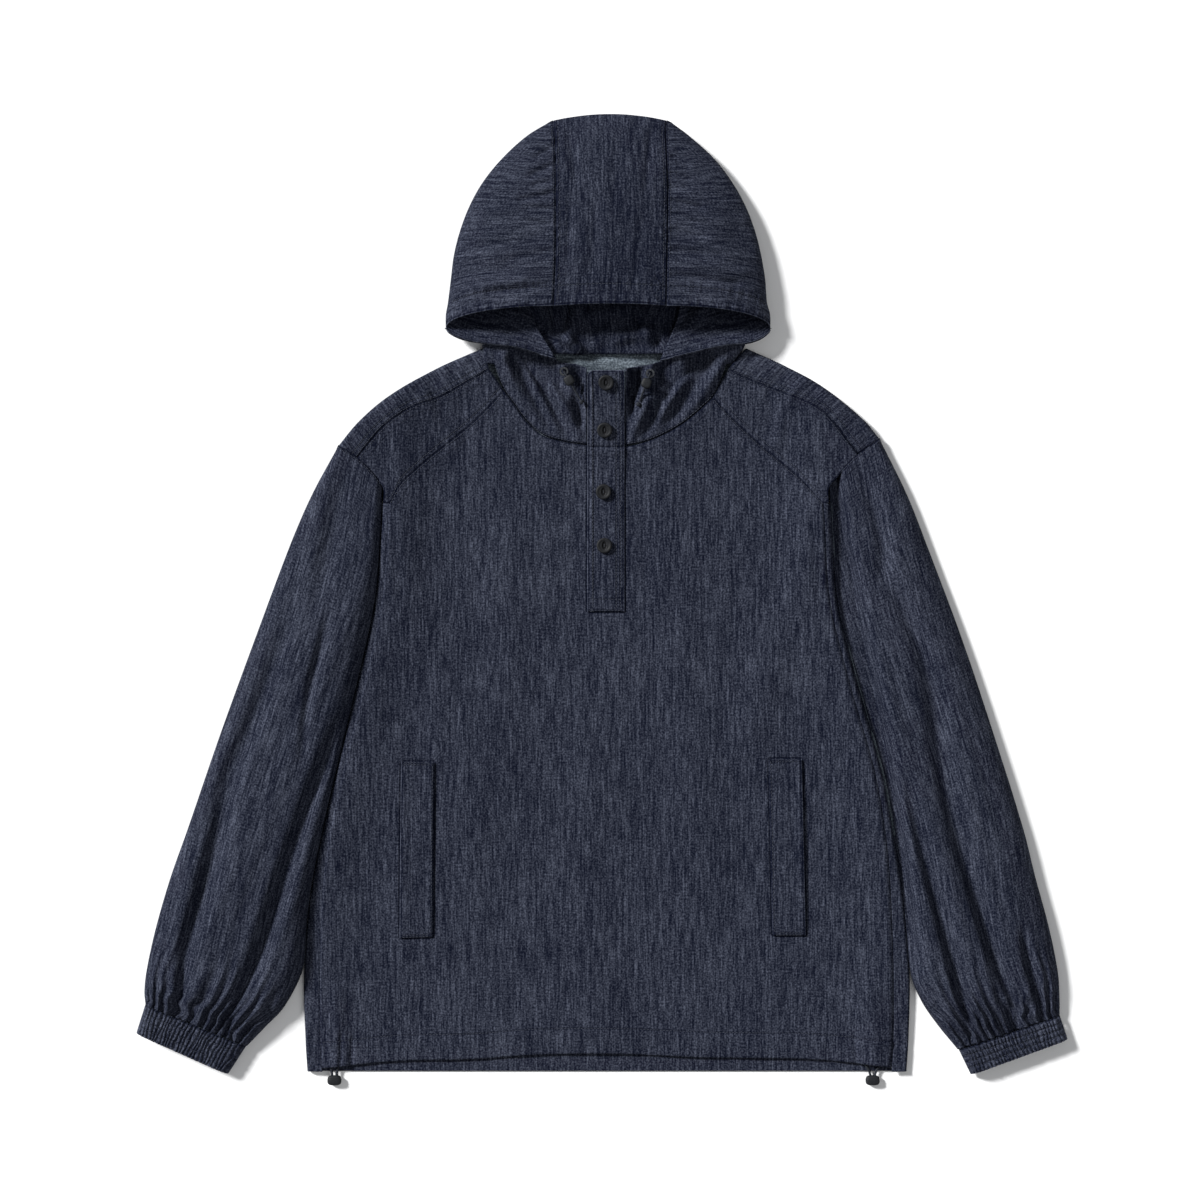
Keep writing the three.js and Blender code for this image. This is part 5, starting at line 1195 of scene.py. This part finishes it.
def crown_surface(u, v):
    over, turned = (v <= TURN_AT)[..., None], (v >= TURN_END)[..., None]
    back = 1 - (v - TURN_END) / (1 - TURN_END)
    part = ((v - TURN_AT) / (TURN_END - TURN_AT))[..., None]

    def edge(name, gap):
        side = hood[name]
        round_top = side["crown"](1.0) + (side["under"](1.0) - side["crown"](1.0)) * part
        line = np.where(over, side["crown"](v / TURN_AT), np.where(turned, side["under"](back), round_top))
        return line + gap * np.array([1, 0, 0])
    tucked = SEAM_GAP - 3.5 * smooth(v, 0.84, 0.94)[..., None]
    west, east = edge("left", tucked), edge("right", -tucked)
    start, end = MIDDLE_TURN
    along = np.where(v <= TURN_AT, v / TURN_AT * start,
                     np.where(v >= TURN_END, end + (1 - end) * (v - TURN_END) / (1 - TURN_END),
                              start + (end - start) * part[..., 0]))
    middle = crown_middle(along)
    line = west + (east - west) * u[..., None]
    arch = 1 - (2 * u - 1) ** 2
    chord = (west + east) / 2
    y = line[..., 1] + (middle[..., 1] - chord[..., 1]) * arch
    z = np.maximum(0, line[..., 2] + (middle[..., 2] - chord[..., 2]) * arch)
    x = line[..., 0]
    nape = smooth(v, 0.95, 1)
    y, z = y - NAPE_LAP * nape, z + 1.1 * nape
    above = smooth(z, 6, 12)
    relief = HOOD_CREASE * ridges(x, y, HOOD_CREASES)
    relief = relief + 0.4 * drift(x, y, 10, 40, 73) + 0.3 * drift(x, y, 24, 26, 74)
    within = smooth(v, 0.75, 0.86)
    z = z + within * np.abs(INNER_LUMP * ridges(x, y, INNER_LUMPS) + 1.2 * drift(x, y, 9, 13, 75))
    brim = BRIM_ROLL * (1 - quarter(v / TURN_AT * BRIM_LENGTH, BRIM_ROLL_WIDTH)) * (v < 0.1)
    z = z + relief * above - brim
    return np.stack([x, y, z], axis=-1)


CROWN_ROW = 3.8
# The crown strip's denim is drawn darker than the side panels' (tone 0.41 against 0.48).
denim_crown = denim("denim_crown", pucker=1.6, wear_and_highlight=0.4, tone=0.41)
crown_rows = merged(np.linspace(0, 1, 190), np.linspace(0.04, 0.062, 18), 0.002 * np.arange(1, 8),
                    np.linspace(0.44, 0.56, 30))
crown_seams = [inset(crown_surface, side, CROWN_ROW, 0.01, 0.46) for side in "we"]
brim_row = inset(crown_surface, "s", BRIM_HEM, 0.02, 0.98)
crown = cloth("hood_crown_cloth", spaced(44, 0.3), crown_rows, crown_surface, sewn="we", folded="s",
              thickness=HOOD_CLOTH, finish=denim_crown, rows=[*crown_seams, brim_row])
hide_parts("hood_crown")

# Front neck parts of the hood, from the neckline seam up to just under the lip, and the height
# that the placket climbs with them at the centre front.
NECK_RIDGES = {
    "left": table("x0 y0 x1 y1 rise width", [
        (-102, 240, -84, 188, 4.5, 6), (-90, 236, -58, 176, -5, 5), (-70, 232, -40, 166, -8, 5.5),
        (-55, 214, -24, 164, 4.5, 5), (-33, 226, -24, 178, -9, 6), (-100, 214, -78, 184, -2.4, 4),
        (-62, 240, -52, 226, -2.4, 4), (-104, 248, -60, 240, -1.6, 3.5)]),
    "right": table("x0 y0 x1 y1 rise width", [
        (29, 226, 23, 192, -9, 6), (56, 232, 27, 166, 5.5, 6), (76, 232, 40, 168, -5.5, 5),
        (100, 232, 66, 178, -7.5, 8), (88, 240, 56, 188, 3.5, 5), (66, 242, 52, 228, -2.4, 4),
        (116, 244, 80, 240, -1.6, 4), (110, 226, 92, 196, 2.5, 6)]),
}
NECK_HOLLOW = {"left": 13, "right": 18}      # the cloth falls in this far under the hood's lip
CORD_RIDGE = {                              # but not where the eyelets and the locks lie on it
    "left": dict(x0=-42, y0=230, x1=-26, y1=200, rise=1, width=6),
    "right": dict(x0=44, y0=228, x1=33, y1=198, rise=1, width=6),
}
CENTRE_FRONT = table("y rise", [(120, 0), (150, 0.6), (172, 3), (200, 8), (222, 12), (235, 13)])
centre_front = column(CENTRE_FRONT, "y", "rise")
NECKS = {
    "left": dict(
        side=-1, steep=1.6,
        seam=[(-112, 236), (-101.5, 210.6), (-92.4, 197.6), (-79.4, 179.8), (-63.5, 165.8), (-41, 158.8),
              (-PLACKET_EDGE - 0.4, 155.6)],
        lip=[(-112, 255, 16.4), (-91, 254, 17), (-66, 247.5, 15), (-54, 242, 14.2), (-47, 238, 15.2),
             (-29, 234.5, 16), (-PLACKET_EDGE - 0.4, 231, 16)],
        outline=[(200, -108.5), (232, -120), (254, -124)]),
    "right": dict(
        side=1, steep=3,
        seam=[(120, 236), (114, 219), (106.3, 203.6), (96.4, 193.7), (77.4, 177.7), (58.6, 166.8),
              (40.8, 159.3), (PLACKET_EDGE + 0.4, 154.6)],
        lip=[(125, 256, 16.2), (110, 255, 16.4), (88, 249.5, 16), (62, 242, 14.6), (54, 238, 15.2),
             (31, 232.5, 16), (PLACKET_EDGE + 0.4, 230.5, 16)],
        outline=[(200, 114.5), (232, 124), (254, 139)]),
}


def front_height(y):
    """Height of the front along its centre, up to the lip."""
    return body_top(0 * y, np.minimum(y, NECK_Y)) + centre_front(y)


NECK_TURN = 0.16         # the share of a neck part that curls under at its outer edge
NECK_LOW = 1.7           # and the height that it curls down to
NECK_FLOOR = 3.2         # its hollow sinks no lower than this
NECK_FOLD = 4


def neck_surface(side_name):
    """Across from the outer edge to the placket, and up from the neckline seam to the lip."""
    neck = NECKS[side_name]
    side_of, hollow = neck["side"], NECK_HOLLOW[side_name]
    seam, lip = through(neck["seam"]), through(neck["lip"])
    outline = column(table("y out", neck["outline"]), "y", "out")

    def surface(u, v):
        along = np.maximum(0, (u - NECK_TURN) / (1 - NECK_TURN))
        low, high = seam(along), lip(along)
        plan = low + (high - low) * v[..., None]
        x, y = plan[..., 0], plan[..., 1]
        rise = 0.15 * v + 0.85 * (1 - (1 - v) ** neck["steep"])
        foot = body_top(low[..., 0], low[..., 1])
        folds = ridges(x, y, NECK_RIDGES[side_name]) + 0.5 * drift(x + 0.5 * side_of * y, y, 8, 30, 81)
        side_z = foot + (high[..., 2] - foot) * rise
        z = side_z + (front_height(y) - side_z) * smooth(along, 0.72, 1)
        free = 1 - smooth(along, 0.93, 0.99)
        z = z + folds * NECK_FOLD * v * (1 - v) * free - 0.7 * (1 - quarter(v * 60, 2))
        beside_cord = 1 - ridges(x, y, [CORD_RIDGE[side_name]])
        sunk = hollow * bump(v - 0.8, 0.2) * smooth(along, 0.12, 0.45) * free * beside_cord
        z = np.maximum(z - sunk, NECK_FLOOR)
        radius = (z - NECK_LOW) / 2
        angle = np.pi * (u / NECK_TURN - 0.5)
        curl_x = outline(y) - side_of * radius + side_of * radius * np.cos(angle)
        curl_z = NECK_LOW + radius + radius * np.sin(angle)
        bent = u < NECK_TURN
        return np.stack([np.where(bent, curl_x, x), y, np.where(bent, curl_z, z)], axis=-1)
    return surface


across = np.concatenate([np.linspace(0, NECK_TURN, 10, endpoint=False), np.linspace(NECK_TURN, 1, 110)])
for side_name in ("left", "right"):
    surface = neck_surface(side_name)
    neck = cloth(f"hood_neck_{side_name}_cloth", across, spaced(70, 0.3), surface, sewn="s",
                 grain="plan", finish=denim_sleeve, inside=denim_inside,
                 rows=[inset(surface, "s", STITCH_ROW, 0.17, 0.99)])
    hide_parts(f"hood_neck_{side_name}")

# The half placket, edge-stitched down both sides and boxed off at its foot, over the button
# stand that lies in the slit.
STAND_WIDTH = 26.5
STAND_FOOT = -7.5
LAYER = CLOTH + 0.5
PLACKET_LENGTH = PLACKET_TOP - PLACKET_FOOT
PLEAT_AT = 14.3       # a fold stands up this far left of the centre
BOX_ROW = 13          # the row that boxes off the foot
SIDE_ROWS = (4.4, 8.4)
BAR_TACK_ROWS = (0.8, 1.3, 2.6)
PLEAT_RISE, PLEAT_WIDTH = 0.9, 1.0
JOINT_DEPTH, JOINT_WIDTH = 1.1, 1.3
EDGE_DROP, EDGE_WIDTH = 0.8, 1.6


def placket_surface(u, v):
    """Across from the left edge, and up from the foot."""
    x = PLACKET_WIDTH * (u - 0.5)
    corner = 6 * (1 - quarter(u * PLACKET_WIDTH, 7)) * smooth(v, 0.9, 1)
    y = PLACKET_FOOT + PLACKET_LENGTH * v - corner
    z = body_top(x, np.minimum(y, NECK_Y)) + centre_front(y) + LAYER
    inward = np.minimum(np.minimum(u, 1 - u) * PLACKET_WIDTH, np.minimum(v, 1 - v) * (PLACKET_LENGTH - 1))
    joint = -JOINT_DEPTH * bump(y - NECK_Y, JOINT_WIDTH) + 0.7 * bump(y - NECK_Y + 5, 4)
    over_box = 1 - smooth(PLACKET_FOOT + BOX_ROW + 4 - y, 0, 6)
    pleat = PLEAT_RISE * bump(x + PLEAT_AT, PLEAT_WIDTH) * over_box
    edge = EDGE_DROP * (1 - quarter(inward, EDGE_WIDTH))
    z = z + joint + pleat - edge + 0.15 * drift(x, y, 9, 13, 91)
    return np.stack([x, y, z], axis=-1)


def stand_surface(u, v):
    x = STAND_WIDTH * (u - 0.5)
    y = STAND_FOOT + (PLACKET_TOP - 5 - STAND_FOOT) * v
    return np.stack([x, y, body_top(x, np.minimum(y, NECK_Y)) + centre_front(y)], axis=-1)


denim_placket = denim("denim_placket", allowance=1.4, pucker=0.5, wear_and_highlight=0.42)
placket_rows = [inset(placket_surface, "e", gap, 0.01, 0.985, 0.5) for gap in SIDE_ROWS]
placket_rows += [inset(placket_surface, "s", gap, 0.06, 0.94) for gap in (2, BOX_ROW)]
topstitching += [inset(placket_surface, "s", gap, 0.02, 0.17) for gap in BAR_TACK_ROWS]
topstitching.append(inset(placket_surface, "w", 5.6, 0.01, 0.985, 0.5))
neck_at = (NECK_Y - PLACKET_FOOT) / PLACKET_LENGTH
neck_joint = placket_surface(np.linspace(0, 1, 40), np.full(40, neck_at))
placket = cloth("placket_cloth", spaced(76, 0.3), spaced(210), placket_surface, sewn="s", folded="nwe",
                grain="plan", rows=placket_rows, pressed=[neck_joint], finish=denim_placket,
                inside=denim_inside)
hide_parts("placket")
stand = cloth("button_stand_cloth", spaced(12), spaced(80), stand_surface, sewn="ew", grain="plan",
              inside=denim_inside)
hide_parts("button_stand")

# Four turned resin buttons with a raised rim and a dished middle. Each is sewn on through two
# holes and lies on the placket at the placket's own slope.
BUTTON_RADIUS = 7.7
RIM = [(0, 0), (5.8, 0), (6.9, 0.25), (7.5, 0.9), (7.7, 1.6), (7.6, 2.4), (7.1, 3.0), (6.4, 3.2),
       (5.6, 3.1), (5.1, 2.8), (4.6, 2.6)]
BUTTON_FACE = [(radius, 2.5) for radius in (4.1, 3.6, 3.0, 2.4, 1.8, 1.2, 0.6, 0)]
EYE_ACROSS, EYE_ALONG, EYE_DEPTH = 2.3, 4.2, 1.3     # the dished oval round the two holes
EYE_TOP = 2.2
HOLE_AT = 1.5
HOLE_RADIUS = 0.85
THREAD_BAR = (0.42, 3.2, 0.5)
button_resin = plain_finish("button_resin", (0.0072, 0.0078, 0.0095), 0.62, grain=350, relief=0.02)
button_thread = plain_finish("button_thread", (0.03, 0.032, 0.038), 0.8, grain=2500, relief=0.05)
hole_shade = plain_finish("hole_shade", (0.002, 0.002, 0.003), 0.9)
BUTTONS = [(0, 217), (-1.4, 170), (-2.5, 108.3), (-1.7, 54.5)]


def placket_height(y):
    """Height of the placket's face along its centre."""
    return front_height(np.asarray(y, float)) + LAYER


for count, (x, y) in enumerate(BUTTONS, 1):
    low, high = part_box(f"button_{count}")
    slope = float(placket_height(y + BUTTON_RADIUS) - placket_height(y - BUTTON_RADIUS)) / (2 * BUTTON_RADIUS)
    tilt = math.atan(slope)
    shape = bmesh.new()
    ring = [shape.verts.new((r, 0, z)) for r, z in RIM + BUTTON_FACE]
    edges = [shape.edges.new(pair) for pair in zip(ring, ring[1:])]
    bmesh.ops.spin(shape, geom=ring + edges, cent=(0, 0, 0), axis=(0, 0, 1), angle=2 * math.pi, steps=48,
                   use_merge=True)
    bmesh.ops.remove_doubles(shape, verts=shape.verts, dist=1e-4)
    bmesh.ops.recalc_face_normals(shape, faces=shape.faces)
    for face in shape.faces:
        face.smooth = True
    for vert in shape.verts:
        eye = (vert.co.x / EYE_ACROSS) ** 2 + (vert.co.y / EYE_ALONG) ** 2
        if vert.co.z > EYE_TOP and eye < 1:
            vert.co.z -= EYE_DEPTH * (1 - eye) ** 0.5
    # The faces down in the dished oval take hole_shade, a near-black painted shade.
    for face in shape.faces:
        middle = face.calc_center_median()
        within = math.hypot(middle.x / EYE_ACROSS, middle.y / EYE_ALONG) < 0.95
        if within and middle.z < EYE_TOP and face.normal.z > 0:
            face.material_index = 2
    # Thread: bars from hole to hole, sunk at both ends into the holes, which are near-black wells of painted
    # shade.
    for hole in (-HOLE_AT, HOLE_AT):
        well = bmesh.ops.create_cone(shape, cap_ends=True, segments=16, radius1=HOLE_RADIUS,
                                     radius2=HOLE_RADIUS, depth=0.3)["verts"]
        bmesh.ops.translate(shape, verts=well, vec=(0, hole, 1.4))
        for face in {face for vert in well for face in vert.link_faces}:
            face.material_index = 2
    for offset in (-0.3, 0.3):
        made = bmesh.ops.create_cube(shape, size=1)["verts"]
        bmesh.ops.scale(shape, verts=made, vec=THREAD_BAR)
        made_edges = list({edge for vert in made for edge in vert.link_edges})
        bar = bmesh.ops.bevel(shape, geom=made_edges, offset=0.16, segments=2, profile=0.5, affect="EDGES",
                              material=-1)
        verts = {vert for face in bar["faces"] for vert in face.verts}
        verts |= {vert for vert in made if vert.is_valid}
        bmesh.ops.translate(shape, verts=list(verts), vec=(offset, 0, 1.7))
        for vert in verts:
            for face in vert.link_faces:
                face.material_index = 1
    mesh = bpy.data.meshes.new(f"button_{count}_turned")
    bmesh.ops.rotate(shape, verts=shape.verts, cent=(0, 0, 0), matrix=Matrix.Rotation(tilt, 3, "X"))
    bmesh.ops.scale(shape, verts=shape.verts, vec=(MM, MM, MM))
    foot = min(vert.co.z for vert in shape.verts)
    centre = (low + high) / 2
    bmesh.ops.translate(shape, verts=shape.verts, vec=(centre.x, centre.y, low.z - foot))
    shape.to_mesh(mesh)
    shape.free()
    for finish in (button_resin, button_thread, hole_shade):
        mesh.materials.append(finish)
    button = added(f"button_{count}_turned", mesh)
    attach(button, "root")
    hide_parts(f"button_{count}")

# Pocket welts: each a folded strip on the front body, stitched down along one side and twice
# across both ends, and open along its mouth, the side towards the sleeve.
WELT_CLOTH = 1.7
WELT_GAP = 0.8
WELT_LENGTH = 176
WELT_LIFT = 1.3
WELT_END_ROWS = (1.2, 3.2)
denim_welt = denim("denim_welt", allowance=1.2, pucker=0.9, wear_and_highlight=0.42)
for side_name, welt in WELTS.items():
    def welt_surface(u, v):
        y = welt["y1"] + (welt["y0"] - welt["y1"]) * v + welt["lean"] * (u - 0.5) * (v - 0.5)
        x = welt["x1"] + (welt["x0"] - welt["x1"]) * v + u * WELT_WIDTH
        to_mouth = 1 - u if welt["mouth"] < 0 else u
        lift = WELT_LIFT * smooth(to_mouth, 0.6, 1) * 4 * v * (1 - v)
        inward = np.minimum(np.minimum(u, 1 - u) * WELT_WIDTH, np.minimum(v, 1 - v) * WELT_LENGTH)
        z = body_top(x, y) + WELT_CLOTH + WELT_GAP + lift - 0.9 * (1 - quarter(inward, 1.8))
        return np.stack([x, y, z + 0.2 * drift(x, y, 12, 17, 95)], axis=-1)
    mouth, sewn_side = "we" if welt["mouth"] < 0 else "ew"
    welt_rows = [inset(welt_surface, sewn_side, 2, 0.01, 0.99)]
    welt_rows += [inset(welt_surface, end, gap, 0.03, 0.97) for end in "sn" for gap in WELT_END_ROWS]
    welt_piece = cloth(f"pocket_welt_{side_name}_cloth", spaced(48, 0.5), spaced(150, 0.2), welt_surface,
                       sewn="sn" + sewn_side, folded=mouth, grain="plan", thickness=WELT_CLOTH,
                       rows=welt_rows, finish=denim_welt)
    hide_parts(f"pocket_welt_{side_name}")

# Topstitching. Tone-on-tone polyester thread, one raised stitch after another along every row
# that the panels above are sewn with.
STITCH_PITCH = 3.3
STITCH_LENGTH = 2.5
STITCH_RISE = 0.35
STITCH_SHAPE = (0.6, 1, 0.6)     # thread at a stitch's ends and middle
THREAD = 0.55
thread = plain_finish("thread", (0.045, 0.051, 0.070), 0.7, grain=1500, relief=0.03)
stitch_lines = bpy.data.curves.new("topstitching_thread", "CURVE")
stitch_lines.dimensions = "3D"
stitch_lines.bevel_depth = THREAD / 2 * MM
stitch_lines.bevel_resolution = 1
stitch_lines.use_fill_caps = True
for row in topstitching:
    passed = np.concatenate([[0], np.cumsum(np.linalg.norm(np.diff(row, axis=0), axis=1))])
    for middle in np.arange(STITCH_PITCH, passed[-1] - STITCH_PITCH / 2, STITCH_PITCH):
        at = middle + np.array([-0.5, 0, 0.5]) * STITCH_LENGTH
        stitch = np.stack([np.interp(at, passed, row[:, k]) for k in range(3)], axis=-1)
        stitch[1, 2] += STITCH_RISE
        spline = stitch_lines.splines.new("POLY")
        spline.points.add(2)
        for point, place, size in zip(spline.points, placed(stitch), STITCH_SHAPE):
            point.co = (*place, 1)
            point.radius = size
stitch_lines.materials.append(thread)
sewing = added("topstitching_thread", stitch_lines)
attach(sewing, "root")
